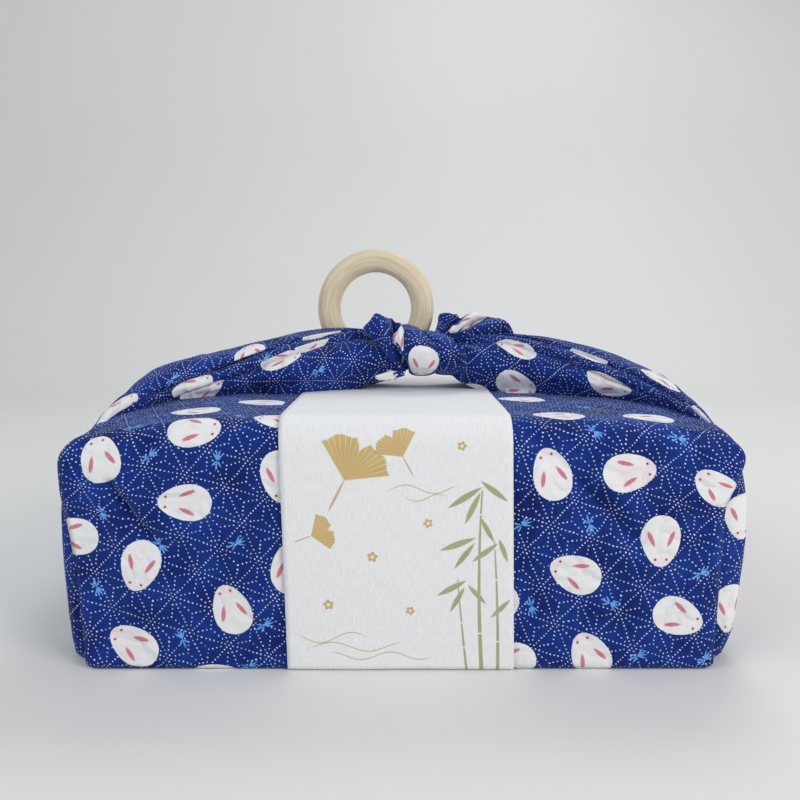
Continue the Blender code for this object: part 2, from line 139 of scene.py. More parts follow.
RIGHT_END_CREASES = (
    Crease(-0.086, 0.008, -0.070, 0.058, 0.0036, 0.0045),
    Crease(-0.070, 0.058, -0.046, 0.116, 0.0044, 0.0040),
    Crease(-0.076, 0.014, -0.060, 0.060, -0.0018, 0.0070),
    Crease(0.088, 0.014, 0.058, 0.070, 0.0032, 0.0045),
    Crease(0.058, 0.070, 0.030, 0.116, 0.0042, 0.0040),
    Crease(0.076, 0.018, 0.046, 0.068, -0.0016, 0.0070),
    Crease(-0.030, 0.050, -0.020, 0.118, 0.0028, 0.0050),
    Crease(0.036, 0.076, 0.008, 0.118, 0.0024, 0.0045),
    Crease(-0.004, 0.088, -0.006, 0.118, 0.0018, 0.0040),
)

CREASE_POWER = 1.4

# The two gathered arms, as in the frame
LEFT_ARM = (
    ArmRow(-0.1530, -0.096, 0.096, -0.040, 0.1185, 0.110),
    ArmRow(-0.1490, -0.095, 0.094, -0.040, 0.1245, 0.112),
    ArmRow(-0.1400, -0.076, 0.084, -0.034, 0.1335, 0.115),
    ArmRow(-0.1220, -0.053, 0.064, -0.024, 0.1400, 0.116),
    ArmRow(-0.1030, -0.043, 0.052, -0.016, 0.1438, 0.116),
    ArmRow(-0.0820, -0.037, 0.046, -0.010, 0.1488, 0.116),
    ArmRow(-0.0590, -0.036, 0.042, -0.004, 0.1537, 0.117),
    ArmRow(-0.0380, -0.026, 0.038, 0.000, 0.1552, 0.119),
    ArmRow(-0.0180, -0.020, 0.032, 0.003, 0.1552, 0.123),
    ArmRow(0.0000, -0.018, 0.026, 0.004, 0.1520, 0.130),
    ArmRow(0.0120, -0.010, 0.018, 0.004, 0.1470, 0.135),
)
RIGHT_ARM = (
    ArmRow(0.1560, -0.098, 0.096, -0.040, 0.1180, 0.110),
    ArmRow(0.1510, -0.100, 0.094, -0.055, 0.1240, 0.112),
    ArmRow(0.1430, -0.090, 0.084, -0.042, 0.1325, 0.115),
    ArmRow(0.1300, -0.068, 0.070, -0.030, 0.1390, 0.116),
    ArmRow(0.1150, -0.056, 0.058, -0.022, 0.1447, 0.116),
    ArmRow(0.0950, -0.045, 0.050, -0.014, 0.1495, 0.116),
    ArmRow(0.0720, -0.032, 0.042, -0.004, 0.1525, 0.117),
    ArmRow(0.0530, -0.024, 0.036, 0.000, 0.1535, 0.119),
    ArmRow(0.0400, -0.020, 0.032, 0.003, 0.1535, 0.123),
    ArmRow(0.0280, -0.018, 0.026, 0.004, 0.1515, 0.130),
    ArmRow(0.0160, -0.010, 0.018, 0.004, 0.1470, 0.135),
)
LEFT_PLEATS = (
    Pleat(-0.128, 0.05, -0.025, 0.40, 0.0050),
    Pleat(-0.140, 0.12, -0.030, 0.47, 0.0036),
    Pleat(-0.148, 0.66, -0.030, 0.64, 0.0034),
    Pleat(-0.146, 0.88, -0.030, 0.80, 0.0042),
)
RIGHT_PLEATS = (
    Pleat(0.150, 0.06, 0.060, 0.38, 0.0045),
    Pleat(0.150, 0.17, 0.062, 0.49, 0.0034),
    Pleat(0.150, 0.62, 0.050, 0.63, 0.0036),
    Pleat(0.148, 0.85, 0.050, 0.80, 0.0042),
)
TOP_FOLD = 2
PLEAT_LAP = 0.012
PLEAT_SLIP = 3
PLEAT_SHARE = 0.45
FOLD_GIRTH = 0.12
DOME_POWER = 0.8
ARM_TUCK = 0.009
ARM_TUCK_TURN = 0.12

# The front corner of the cloth, laid over the top and down the back under the belly band
FLAP_START_Y = -0.105
FLAP_HALF_WIDTH = 0.148
FLAP_OFF = 0.0007
FLAP_TIP_Z = 0.050

# The knot's two lobes, by turn from the top pinch (0) over the front to the lower pinch (1): the left and the
# right side of each, and how far it stands out from the knot's heart
KNOT_Y = -0.004
KNOT_Z = 0.1435
KNOT_HALF_Y = 0.0235
KNOT_HALF_Z = 0.0145
LOBE_CROWN = 0.82
LOBE_POWER = 2.6
LEFT_LOBE_TILT = -0.0022
RIGHT_LOBE_TILT = -0.0016
LEFT_LOBE = (
    LobeRow(0.00, 0.0010, 0.0140, 1.00),
    LobeRow(0.22, 0.0012, 0.0165, 1.03),
    LobeRow(0.40, 0.0020, 0.0212, 1.05),
    LobeRow(0.60, 0.0034, 0.0232, 1.06),
    LobeRow(0.80, 0.0045, 0.0220, 1.09),
    LobeRow(1.00, 0.0050, 0.0190, 1.04),
)
RIGHT_LOBE = (
    LobeRow(0.00, 0.0120, 0.0270, 0.78),
    LobeRow(0.22, 0.0150, 0.0300, 0.88),
    LobeRow(0.40, 0.0190, 0.0350, 0.95),
    LobeRow(0.60, 0.0210, 0.0385, 0.98),
    LobeRow(0.80, 0.0205, 0.0395, 1.03),
    LobeRow(1.00, 0.0180, 0.0385, 1.02),
)

# The free ends and small folds of the knot, each a fan of cloth from a narrow gathered base: the rim from
# side to side, with how far the cloth puffs out between the base and that place of the rim
LEFT_TAIL_BASE = ((-0.0004, -0.0205, 0.1350), (0.0030, -0.0190, 0.1304))
LEFT_TAIL_RIM = (
    RimRow(-0.0208, -0.0100, 0.1549, 0.0000),
    RimRow(-0.0203, -0.0130, 0.1578, 0.0020),
    RimRow(-0.0163, -0.0160, 0.1634, 0.0040),
    RimRow(-0.0142, -0.0165, 0.1656, 0.0042),
    RimRow(-0.0116, -0.0160, 0.1650, 0.0030),
    RimRow(-0.0072, -0.0150, 0.1628, 0.0015),
    RimRow(-0.0046, -0.0090, 0.1622, -0.0018),
    RimRow(-0.0030, -0.0130, 0.1606, 0.0010),
    RimRow(0.0002, -0.0130, 0.1595, 0.0020),
    RimRow(0.0014, -0.0110, 0.1570, 0.0010),
)
RIGHT_TAIL_BASE = ((0.0190, 0.0000, 0.1525), (0.0310, -0.0070, 0.1495))
RIGHT_TAIL_RIM = (
    RimRow(0.0236, 0.0060, 0.1560, 0.0000),
    RimRow(0.0233, 0.0040, 0.1596, 0.0008),
    RimRow(0.0243, 0.0030, 0.1640, 0.0010),
    RimRow(0.0306, 0.0040, 0.1645, 0.0005),
    RimRow(0.0353, 0.0075, 0.1628, -0.0012),
    RimRow(0.0388, 0.0100, 0.1626, -0.0024),
    RimRow(0.0415, 0.0020, 0.1646, 0.0012),
    RimRow(0.0450, 0.0000, 0.1651, 0.0024),
    RimRow(0.0500, 0.0020, 0.1637, 0.0018),
    RimRow(0.0540, 0.0065, 0.1624, -0.0006),
    RimRow(0.0585, 0.0030, 0.1616, 0.0030),
    RimRow(0.0629, 0.0020, 0.1598, 0.0042),
    RimRow(0.0658, 0.0050, 0.1567, 0.0040),
    RimRow(0.0686, 0.0080, 0.1518, 0.0020),
    RimRow(0.0640, 0.0110, 0.1488, 0.0000),
)
SLIVER_BASE = ((0.0022, -0.0262, 0.1400), (0.0036, -0.0262, 0.1385))
SLIVER_RIM = (
    RimRow(-0.0040, -0.0200, 0.1500, 0.0000),
    RimRow(-0.0038, -0.0222, 0.1540, 0.0012),
    RimRow(-0.0012, -0.0228, 0.1572, 0.0016),
    RimRow(0.0012, -0.0215, 0.1588, 0.0008),
    RimRow(0.0020, -0.0200, 0.1560, 0.0000),
)
LOW_FOLD_BASE = ((0.0020, -0.0262, 0.1330), (0.0036, -0.0258, 0.1312))
LOW_FOLD_RIM = (
    RimRow(-0.0080, -0.0232, 0.1326, 0.0000),
    RimRow(-0.0136, -0.0242, 0.1302, 0.0006),
    RimRow(-0.0118, -0.0246, 0.1270, 0.0010),
    RimRow(-0.0050, -0.0240, 0.1280, 0.0000),
)
FAN_STEPS_AROUND = 72
FAN_STEPS_OUT = 18
TAIL_THICKNESS = 0.0030
FOLD_THICKNESS = 0.0014

# Small folds that run out from the knot's two pinches into the arms: place, and the height of the folds
LEFT_PINCH = (0.0015, 0.1335)
RIGHT_PINCH = (0.0290, 0.1505)
PINCH_FOLDS = 15
PINCH_FOLD_HEIGHT = 0.0013
PINCH_REACH = 0.024
PINCH_FOLD_CURL = 40.0

# The small unevenness of worn cotton: on the box, on the arms, and the long soft creases of the box
BOX_RIPPLES = (Ripple(0.00085, 0.034, 0), Ripple(0.00036, 0.014, 1))
FINE_RIPPLE = Ripple(0.00010, 0.006, 2)
ARM_RIPPLES = (Ripple(0.00085, 0.011, 3), Ripple(0.0004, 0.0055, 4))
LONG_CREASE = Ripple(0.0007, 0.040, 5)
LONG_CREASE_WIDTH = 0.05
BAND_RIPPLE = Ripple(0.0002, 0.028, 6)
BARE_PLACES = Ripple(1.0, 0.05, 7)
ARM_FROM_Z = 0.121
STILL_BELOW_Z = 0.012

# Belly band
BAND_HALF_WIDTH = 0.0532
BAND_MIDDLE_X = 0.0004
BAND_LEAN = -0.0025 / 0.120
BAND_OFF_CLOTH = 0.0012
BAND_PAPER = 0.0003
BAND_BASE_Z = 0.0004
BAND_FOOT_ROUND = 0.003
BAND_STEP = 0.0025
BAND_COLUMNS = 44
ARC_POINTS = 11

# The band's print, in millimetres: across from the band's middle, and up the front
FAN_LEAVES = (
    Leaf(-24.0, 92.0, 21.0, 0.0, 62),
    Leaf(3.0, 103.0, 13.0, 0.0, 118),
    Leaf(-40.0, 66.0, 11.0, 0.0, 20),
)
BAMBOO_STEMS = (
    Stem(38.0, 88.0, -0.05, 0.0007, 1.0, 19.0),
    Stem(45.5, 64.0, 0.02, -0.0006, 0.8, 15.0),
    Stem(31.0, 46.0, -0.10, 0.0004, 0.6, 12.0),
)
BAMBOO_LEAVES = (
    Leaf(31.0, 84.0, 9.5, 1.5, 212),
    Leaf(34.5, 79.0, 8.5, 1.4, 244),
    Leaf(44.5, 87.0, 8.0, 1.4, -38),
    Leaf(27.5, 62.0, 9.0, 1.5, 200),
    Leaf(30.5, 56.5, 8.0, 1.3, 232),
    Leaf(41.0, 69.0, 7.0, 1.2, -62),
    Leaf(48.5, 59.0, 6.0, 1.2, -70),
    Leaf(40.0, 58.0, 7.5, 1.3, 216),
    Leaf(24.5, 41.0, 8.0, 1.4, 208),
    Leaf(27.0, 35.5, 7.0, 1.2, 240),
    Leaf(36.0, 38.0, 6.5, 1.2, -48),
    Leaf(47.0, 31.0, 6.5, 1.2, 224),
)
BLOSSOMS = (
    Leaf(-12.0, 56.0, 2.6, 0.0, 10),
    Leaf(14.0, 72.0, 2.3, 0.0, 40),
    Leaf(-33.0, 33.0, 2.6, 0.0, 25),
    Leaf(5.0, 30.0, 2.2, 0.0, 60),
    Leaf(30.0, 108.0, 2.3, 0.0, 0),
)
FLOWING_LINES = (
    Flow(-50.0, -14.0, 17.0, 2.6, 30.0, 0.0),
    Flow(-44.0, 2.0, 12.5, 2.2, 34.0, 1.2),
    Flow(-34.0, 16.0, 8.0, 1.8, 28.0, 2.6),
    Flow(-6.0, 30.0, 88.0, 2.0, 26.0, 0.6),
    Flow(2.0, 24.0, 84.0, 1.6, 20.0, 1.9),
)

# Wooden ring
RING_MAJOR = 0.02815
RING_MINOR = 0.00685
RING_FLATTEN = 0.90
RING_POWER = 0.86
RING_STEPS = 161
RING_SECTION_STEPS = 41
RING_PLACE = (-0.0146, 0.010, 0.168)

# The print: hemp-leaf lattice of dots, stretched a little with the cloth
LATTICE_SIDE = 18.0
LATTICE_TURN = 47.0
LATTICE_ALONG = 0.894
LATTICE_ACROSS = 1.118
DOTS_ON_EDGE = 10
DOTS_ON_SPOKE = 5
DOT_RADIUS = 0.31
DOT_JITTER = 0.7
LATTICE_WOBBLE = 1.6
# A sprig's needles on either side of its stem: lean in degrees, half length, and where the middle lies
# along it
NEEDLES = ((11.0, 2.5, 2.2), (37.0, 2.2, 2.0), (0.0, 2.2, -2.6), (146.0, 1.5, 2.4))
NEEDLE_HALF_WIDTH = 0.36
# A rabbit, seen from above: an egg that narrows to the head, two ears that lean apart, two eyes
RABBIT_HALF_LENGTH = 12.4
RABBIT_HALF_WIDTH = 8.9
RABBIT_TAPER = 0.19
EAR_MIDDLE = (-0.9, 4.5)
EAR_LEAN = 23.0
EAR_HALF_LENGTH = 3.8
EAR_HALF_WIDTH = 1.0
EYE_MIDDLE = (8.9, 2.6)
EYE_RADIUS = 0.52
THREAD_PITCH = (0.45, 0.50)
MOTIF_SPACING = 39.0
MOTIF_NEAREST = 27.0
MOTIF_JITTER = 5.0

# Rabbits and sprigs by the stretch of cloth that they are printed on: along its chart, across it, in
# millimetres, and the way that each head points in degrees. The front's chart runs up the wall and on over
# the top
RABBITS = {
    "front": (
        Motif(-140.4, 108.2, 104),
        Motif(-102.5, 81.6, 176),
        Motif(-155.3, 65.3, 174),
        Motif(-124.3, 51.0, -106),
        Motif(-129.0, 12.1, 145),
        Motif(-82.4, 29.7, 109),
        Motif(-58.2, 93.5, -87),
        Motif(-54.6, 49.8, 89),
        Motif(-91.0, -6.0, 10),
        Motif(66.2, 94.4, 108),
        Motif(101.4, 96.6, 15),
        Motif(142.0, 92.0, 135),
        Motif(117.1, 63.2, -89),
        Motif(78.0, 47.4, 157),
        Motif(126.8, 26.4, -23),
        Motif(86.2, 7.2, 117),
        Motif(48.4, 4.7, 180),
        Motif(39.6, 34.0, 180),
        Motif(-97.6, 117.0, -5),
        Motif(-59.3, 125.0, 178),
        Motif(71.7, 131.3, 179),
        Motif(-104.7, 147.9, 170),
        Motif(-76.1, 171.4, 175),
        Motif(61.8, 182.0, 172),
        Motif(116.5, 139.0, 186),
    ),
    "right": (Motif(327.0, 72.5, -89), Motif(324.5, 25.6, -83)),
    "left_arm_0": (Motif(70.9, 1.4, 20), Motif(115.5, 9.0, -9), Motif(133.5, 17.9, 17)),
    "left_arm_1": (Motif(69.0, -4.5, 0), Motif(147.3, 7.2, 1)),
    "left_arm_2": (Motif(17.9, -30.9, 19), Motif(90.9, -15.8, 103)),
    "right_arm_0": (
        Motif(-120.8, 9.7, 172),
        Motif(-121.6, -17.5, -1),
        Motif(-147.0, -31.0, 177),
        Motif(-66.6, 1.7, -1),
        Motif(-71.5, -26.0, 21),
    ),
    "right_arm_1": (Motif(-88.8, 7.1, 200), Motif(-12.9, 8.8, 195)),
    "right_arm_2": (Motif(-44.6, -16.0, 175), Motif(-18.0, -36.0, -10)),
    "right_tail": (Motif(16.6, 3.2, 4),),
    "left_lobe": (Motif(63.2, -0.4, -6),),
    "sliver": (Motif(13.5, -0.9, 59),),
    "low_fold": (Motif(14.8, 0.5, 1),),
}
SPRIGS = {
    "front": (
        Motif(-117.8, 106.0, 35),
        Motif(-86.9, 101.6, 80),
        Motif(-140.0, 77.7, -73),
        Motif(-114.7, 60.9, -57),
        Motif(-79.5, 61.8, 28),
        Motif(-145.0, 40.3, -67),
        Motif(-106.0, 15.8, 110),
        Motif(-66.9, 22.3, 31),
        Motif(-127.4, 124.1, 16),
        Motif(-79.0, 128.0, 120),
        Motif(-75.0, 1.3, 22),
        Motif(85.3, 114.9, -49),
        Motif(123.8, 115.0, -5),
        Motif(52.9, 70.7, 30),
        Motif(84.0, 70.9, -72),
        Motif(136.2, 47.4, 30),
        Motif(94.7, 33.3, -25),
        Motif(57.9, 31.7, -72),
        Motif(108.5, 7.2, 23),
        Motif(140.2, 5.6, 42),
        Motif(89.1, 157.4, -13),
    ),
    "left_arm_0": (Motif(139.0, -8.2, 14),),
    "left_arm_1": (Motif(112.2, -5.4, 18),),
    "left_arm_2": (Motif(48.0, -20.0, 60),),
}
NO_MOTIF = Motif(1000.0, 1000.0, 0.0)
# Where the print that the list leaves out goes on by itself: the stretch, and how far across it that starts
GOES_ON_FROM = {
    "front": 205.0,
    "back": -1000.0,
    "left": 4.0,
    "right": 4.0,
    "left_arm_2": 6.0,
    "left_arm_3": -1000.0,
    "left_arm_4": -1000.0,
    "right_arm_2": 6.0,
    "right_arm_3": -1000.0,
    "right_arm_4": -1000.0,
}
SAME_CHART = {"flap": "front"}
# The ends and the arms meet without a fold, and no motif that goes on by itself lies across that line
END_MOTIFS_TO = 98.0
ARM_MOTIFS_IN = 16.0
LEFT_EDGE_BARE = 32.0

# The turn and stretch of the places at which the long creases' noise is read, which makes them lean
RIPPLE_TURN = np.array([[0.80, 0.0, 0.60], [0.0, 1.0, 0.0], [-0.30, 0.0, 0.40]]).T

# Colours as shown, 0 to 255
# The cotton's blue from shaded to lit: the spread between the two is painted light and shade
COTTON_BLUES_SHADED_TO_LIT = ((10, 31, 100), (20, 55, 141))
DOT_WHITE = (226, 230, 240)
SPRIG_BLUE = (104, 172, 246)
RABBIT_WHITES = ((228, 229, 229), (243, 243, 241))
RABBIT_BLUSH = (240, 222, 226)
NOSE_PINK = (236, 200, 206)
EAR_PINKS = ((196, 88, 112), (232, 150, 168))
EYE_RED = (150, 22, 50)
PAPER_WHITES = ((226, 226, 227), (240, 240, 240))
GOLDS = ((190, 156, 84), (208, 178, 108))
OLIVES = ((138, 150, 96), (172, 178, 128))
VEIN_CREAM = (232, 218, 184)
WOODS = ((229, 214, 187), (204, 185, 154))
WOOD_FLECK = (170, 146, 112)
FLOORS = ((226, 225, 222), (232, 231, 229))

# Studio
FLOOR_REACH = 8.0
SWEEP_START = 0.9
SWEEP_RADIUS = 0.5
SWEEP_STEPS = 16
WALL_TOP = 2.6
AIR_TINT = (0.95, 0.97, 1.0, 1.0)
AIR_STRENGTH = 0.48
LIT_PLACE = (0, 0, 0.08)
LIGHTS = (
    Light("window", (1.3, -1.2, 0.9), (0.8, 0.8), 16, (1.0, 0.98, 0.95)),
    Light("fill", (-1.1, -0.8, 1.1), (1.0, 1.0), 6.5, (0.80, 0.90, 1.0)),
    Light("overhead", (0.4, 0.8, 1.4), (0.6, 0.6), 6.5, (0.92, 0.96, 1.0)),
)
CAMERA_PLACE = (BOX_TO_ORIGIN_X, -0.478, 0.176)
CAMERA_DOWN = 7.5
LENS_MM = 36

# Fineness
FRONT_COLUMNS = 168
FINE_SHARE = 0.36
FINE_TO_X = -0.085
BACK_COLUMNS = 84
END_COLUMNS = 76
CORNER_COLUMNS = 15
WALL_LEVELS = 84
ROUND_LEVELS = 9
TOP_LEVELS = 24
ARM_STATIONS = 130
FOLD_STEPS = (14, 12, 20, 12, 14)
UNDER_STEPS = 8
LOBE_STEPS = 44
LOBE_STEPS_ACROSS = 34


def smooth(xs, ys, x):
    """Smooth curve through the table's points, read at a number or an array. xs run either way."""
    xs = np.asarray(xs, float)
    ys = np.asarray(ys, float)
    if xs[0] > xs[-1]:
        xs = xs[::-1]
        ys = ys[::-1]
    slopes = np.gradient(ys, xs)
    i = np.clip(np.searchsorted(xs, x) - 1, 0, len(xs) - 2)
    span = xs[i + 1] - xs[i]
    t = np.clip((x - xs[i]) / span, 0.0, 1.0)
    rise = (2 * t**3 - 3 * t**2 + 1) * ys[i] + (3 * t**2 - 2 * t**3) * ys[i + 1]
    return rise + span * ((t**3 - 2 * t**2 + t) * slopes[i] + (t**3 - t**2) * slopes[i + 1])


def reader(rows):
    """A function that reads any named column of the table at a value of its first column."""
    columns = dict(zip(rows[0]._fields, np.array(rows).T))
    keys = columns[rows[0]._fields[0]]
    return lambda name, at: smooth(keys, columns[name], at)


def ease(x):
    x = np.clip(x, 0.0, 1.0)
    return x * x * (3 - 2 * x)


LATTICE = np.random.RandomState(SEED).permutation(256)
LEVELS = np.random.RandomState(SEED + 1).uniform(-1, 1, 256)


def value_noise(points, size, shift=0):
    """Smooth noise from -1 to 1 at each point of an array of places, with features of the given size."""
    at = np.asarray(points, float) / size + 91.7 * (shift + 1)
    base = np.floor(at).astype(int)
    part = at - base
    part = part * part * (3 - 2 * part)
    total = np.zeros(at.shape[:-1])
    for corner in range(8):
        step = np.array([corner & 1, corner >> 1 & 1, corner >> 2 & 1])
        weight = np.prod(np.where(step == 1, part, 1 - part), axis=-1)
        key = base + step
        mixed = LATTICE[(LATTICE[(LATTICE[key[..., 0] & 255] + key[..., 1]) & 255] + key[..., 2]) & 255]
        total += weight * LEVELS[mixed]
    return total


def trough(x, z, creases):
    """Depth of the creases at points of a panel. One with a depth below 0 stands out as a ridge."""
    depth = np.zeros(np.shape(x))
    proud = np.zeros(np.shape(x))
    for crease in creases:
        run = crease.x1 - crease.x0
        rise = crease.z1 - crease.z0
        along = ((x - crease.x0) * run + (z - crease.z0) * rise) / (run**2 + rise**2)
        near = np.clip(along, 0.0, 1.0)
        away = np.hypot(x - crease.x0 - near * run, z - crease.z0 - near * rise)
        pressed = crease.depth * np.exp(-((away / crease.half_width) ** CREASE_POWER))
        depth = np.maximum(depth, pressed)
        proud = np.minimum(proud, pressed)
    return depth + proud


def shoulder_drop(points):
    """The points let down where they lie near one of the box's top corners."""
    x, y, z = np.moveaxis(points, -1, 0)
    drop = np.zeros(x.shape)
    for corner in SHOULDERS:
        away = ((x - corner.x) / corner.reach_x) ** 2 + ((y - corner.y) / corner.reach_y) ** 2
        drop += corner.drop * np.exp(-away)
    drop *= ease((z - SHOULDER_FROM_Z) / SHOULDER_RISE)
    return np.stack([x, y, z - drop], axis=-1)


def grid_quads(rows, columns):
    """Corner numbers of each quad of a grid of points."""
    index = np.arange(rows * columns).reshape(rows, columns)
    quads = np.stack([index[:-1, :-1], index[:-1, 1:], index[1:, 1:], index[1:, :-1]], axis=-1)
    return quads.reshape(-1, 4)


def staggered_motifs(patch, name, seed, kept):
    """Motifs in jittered staggered rows over a patch's chart, away from those already placed there."""
    if name not in GOES_ON_FROM:
        return []
    draw = np.random.RandomState(seed)
    low_u, high_u = patch.u.min(), patch.u.max()
    low_v, high_v = max(patch.v.min(), GOES_ON_FROM[name]), patch.v.max()
    row_step = MOTIF_SPACING * math.sqrt(3) / 2
    made = []
    start_u, start_v = draw.uniform(-1, 1, 2) * MOTIF_SPACING / 2
    for row in range(int((high_v - low_v) / row_step) + 3):
        for column in range(int((high_u - low_u) / MOTIF_SPACING) + 3):
            jitter = draw.uniform(-1, 1, 2) * MOTIF_JITTER
            heading = draw.uniform(0, 360)
            u = low_u + start_u + (column - 0.5 * (row % 2)) * MOTIF_SPACING + jitter[0]
            v = low_v + abs(start_v) + row * row_step + jitter[1]
            far = all(math.hypot(u - other.u, v - other.v) > MOTIF_NEAREST for other in kept)
            if name in ("left", "right"):
                far = far and v < END_MOTIFS_TO
            if name == "left":
                far = far and u < high_u - LEFT_EDGE_BARE
            if "arm" in name:
                far = far and abs(u) > ARM_MOTIFS_IN
            if far:
                made.append(Motif(u, v, heading))
    return made


def near_frame(loops, motifs):
    """Each quad's corners in the frame of the motif nearest to the quad, head towards +u."""
    centres = loops.mean(axis=1)
    places = np.array([(m.u, m.v) for m in motifs])
    gaps = np.linalg.norm(centres[:, None, :] - places[None, :, :], axis=2)
    nearest = np.argmin(gaps, axis=1)
    turn = np.radians([m.heading for m in motifs])[nearest][:, None]
    local = loops - places[nearest][:, None, :]
    along = local[..., 0] * np.cos(turn) + local[..., 1] * np.sin(turn)
    across = -local[..., 0] * np.sin(turn) + local[..., 1] * np.cos(turn)
    return np.stack([along, across], axis=-1)


def drop_slivers(shape):
    bmesh.ops.dissolve_degenerate(shape, edges=shape.edges, dist=WELD / 2)


def face_outwards(shape):
    bmesh.ops.recalc_face_normals(shape, faces=shape.faces)


def welded_piece(name, points, quads, charts, mend):
    """A smooth mesh object of the quads, welded where they meet, mended, and with its charts as UV maps."""
    mesh = bpy.data.meshes.new(name)
    mesh.from_pydata(points.reshape(-1, 3).tolist(), [], quads.tolist())
    for chart, values in charts.items():
        layer = mesh.uv_layers.new(name=chart)
        layer.data.foreach_set("uv", values.astype(np.float32).ravel())
    shape = bmesh.new()
    shape.from_mesh(mesh)
    bmesh.ops.remove_doubles(shape, verts=shape.verts, dist=WELD)
    mend(shape)
    shape.to_mesh(mesh)
    shape.free()
    mesh.shade_smooth()
    piece = bpy.data.objects.new(name, mesh)
    bpy.context.scene.collection.objects.link(piece)
    return piece


def join_patches(name, patches):
    """One mesh object of all patches, welded where they meet, with the three charts of the print."""
    points = []
    quads = []
    charts = {"print": [], "rabbit": [], "sprig": []}
    count = 0
    for patch in patches:
        rows, columns = patch.u.shape
        numbers = grid_quads(rows, columns)
        flat = np.stack([patch.u.ravel(), patch.v.ravel()], axis=-1)
        loops = flat[numbers]
        stretch = SAME_CHART.get(patch.name, patch.name)
        rabbits = [NO_MOTIF, *RABBITS.get(stretch, ())]
        sprigs = [NO_MOTIF, *SPRIGS.get(stretch, ())]
        seed = SEED
        if stretch in GOES_ON_FROM:
            seed += 10 * list(GOES_ON_FROM).index(stretch)
        rabbits += staggered_motifs(patch, stretch, seed, rabbits)
        sprigs += staggered_motifs(patch, stretch, seed + 5, sprigs + rabbits)
        charts["print"].append(loops.reshape(-1, 2))
        charts["rabbit"].append(near_frame(loops, rabbits).reshape(-1, 2))
        charts["sprig"].append(near_frame(loops, sprigs).reshape(-1, 2))
        points.append(patch.points.reshape(-1, 3) + (BOX_TO_ORIGIN_X, 0, 0))
        quads.append(numbers + count)
        count += rows * columns
    charts = {chart: np.concatenate(values) for chart, values in charts.items()}
    return welded_piece(name, np.concatenate(points), np.concatenate(quads), charts, drop_slivers)


def displace(piece, depth_at):
    """Moves the points of a piece along their normals by a depth worked out from their places."""
    mesh = piece.data
    places = np.empty(len(mesh.vertices) * 3)
    mesh.vertices.foreach_get("co", places)
    places = places.reshape(-1, 3)
    normals = np.empty(len(mesh.vertices) * 3)
    mesh.vertex_normals.foreach_get("vector", normals)
    places += normals.reshape(-1, 3) * depth_at(places)[:, None]
    mesh.vertices.foreach_set("co", places.ravel())
    mesh.update()


def upright_edge(edge, side, front_or_back, z):
    """Plan of one upright edge, from the panel to the end, through the corner's rows as a smooth curve."""
    name = "right" if side > 0 else "left"
    reach = edge(name, z)
    bulge = edge(name + "_bulge", z)
    pocket = edge(name + "_pocket", z)
    rows = np.array(CORNER_ROWS)
    xs = side * (reach + rows[:, 0] + rows[:, 2] * pocket + rows[:, 3] * bulge)
    ys = front_or_back * (HALF_DEPTH - rows[:, 1])
    steps = np.linspace(0, len(rows) - 1, CORNER_COLUMNS)
    at = np.arange(len(rows))
    return smooth(at, xs, steps), smooth(at, ys, steps)


def plan_ring(edge, z):
    """Outline of the wrapped box at a height, counter-clockwise seen from above, from the front left."""
    left = edge("left", z) - FRONT_MARGIN
    right = edge("right", z) - FRONT_MARGIN
    shares = np.linspace(0, 1, FRONT_COLUMNS)
    front_x = np.interp(shares, (0, FINE_SHARE, 1), (-left, FINE_TO_X, right))
    back_x = np.linspace(right, -left, BACK_COLUMNS)
    corner_end = HALF_DEPTH - CORNER_ROWS[-1].back
    inner = np.linspace(-corner_end, corner_end, END_COLUMNS + 1)[1:-1]
    right_x = edge("right", z) + edge("right_bulge", z)
    left_x = edge("left", z) + edge("left_bulge", z)
    parts = [(front_x, np.full(FRONT_COLUMNS, -HALF_DEPTH))]
    parts.append(upright_edge(edge, 1, -1, z))
    parts.append((np.full(len(inner), right_x), inner))
    parts.append(tuple(values[::-1] for values in upright_edge(edge, 1, 1, z)))
    parts.append((back_x, np.full(BACK_COLUMNS, HALF_DEPTH)))
    parts.append(upright_edge(edge, -1, 1, z))
    parts.append((np.full(len(inner), -left_x), inner[::-1]))
    parts.append(tuple(values[::-1] for values in upright_edge(edge, -1, -1, z)))
    return np.concatenate([p[0] for p in parts]), np.concatenate([p[1] for p in parts])


def box_levels():
    """Heights, insets and lengths up the cloth of the rings, from under the base to the top's middle."""
    levels = [(BASE_LIFT, 0.112, -0.110), (BASE_LIFT, 0.060, -0.058), (BASE_LIFT, 0.012, -0.011)]
    levels += [(0.0006, 0.007, -0.006), (0.0, BASE_ROUND, -0.002), (BASE_STEP_Z, BASE_STEP_INSET, 0.0)]
    top_of_wall = TOP_Z - TOP_ROUND
    levels += [(z, 0.0, z) for z in np.linspace(BASE_ROUND, top_of_wall, WALL_LEVELS)]
    for step in range(1, ROUND_LEVELS + 1):
        turn = step / ROUND_LEVELS * math.pi / 2
        z = top_of_wall + TOP_ROUND * math.sin(turn)
        levels.append((z, TOP_ROUND * (1 - math.cos(turn)), top_of_wall + TOP_ROUND * turn))
    for inset in np.linspace(TOP_ROUND, 0.112, TOP_LEVELS + 1)[1:]:
        levels.append((TOP_Z, inset, top_of_wall + TOP_ROUND * math.pi / 2 + inset - TOP_ROUND))
    return levels


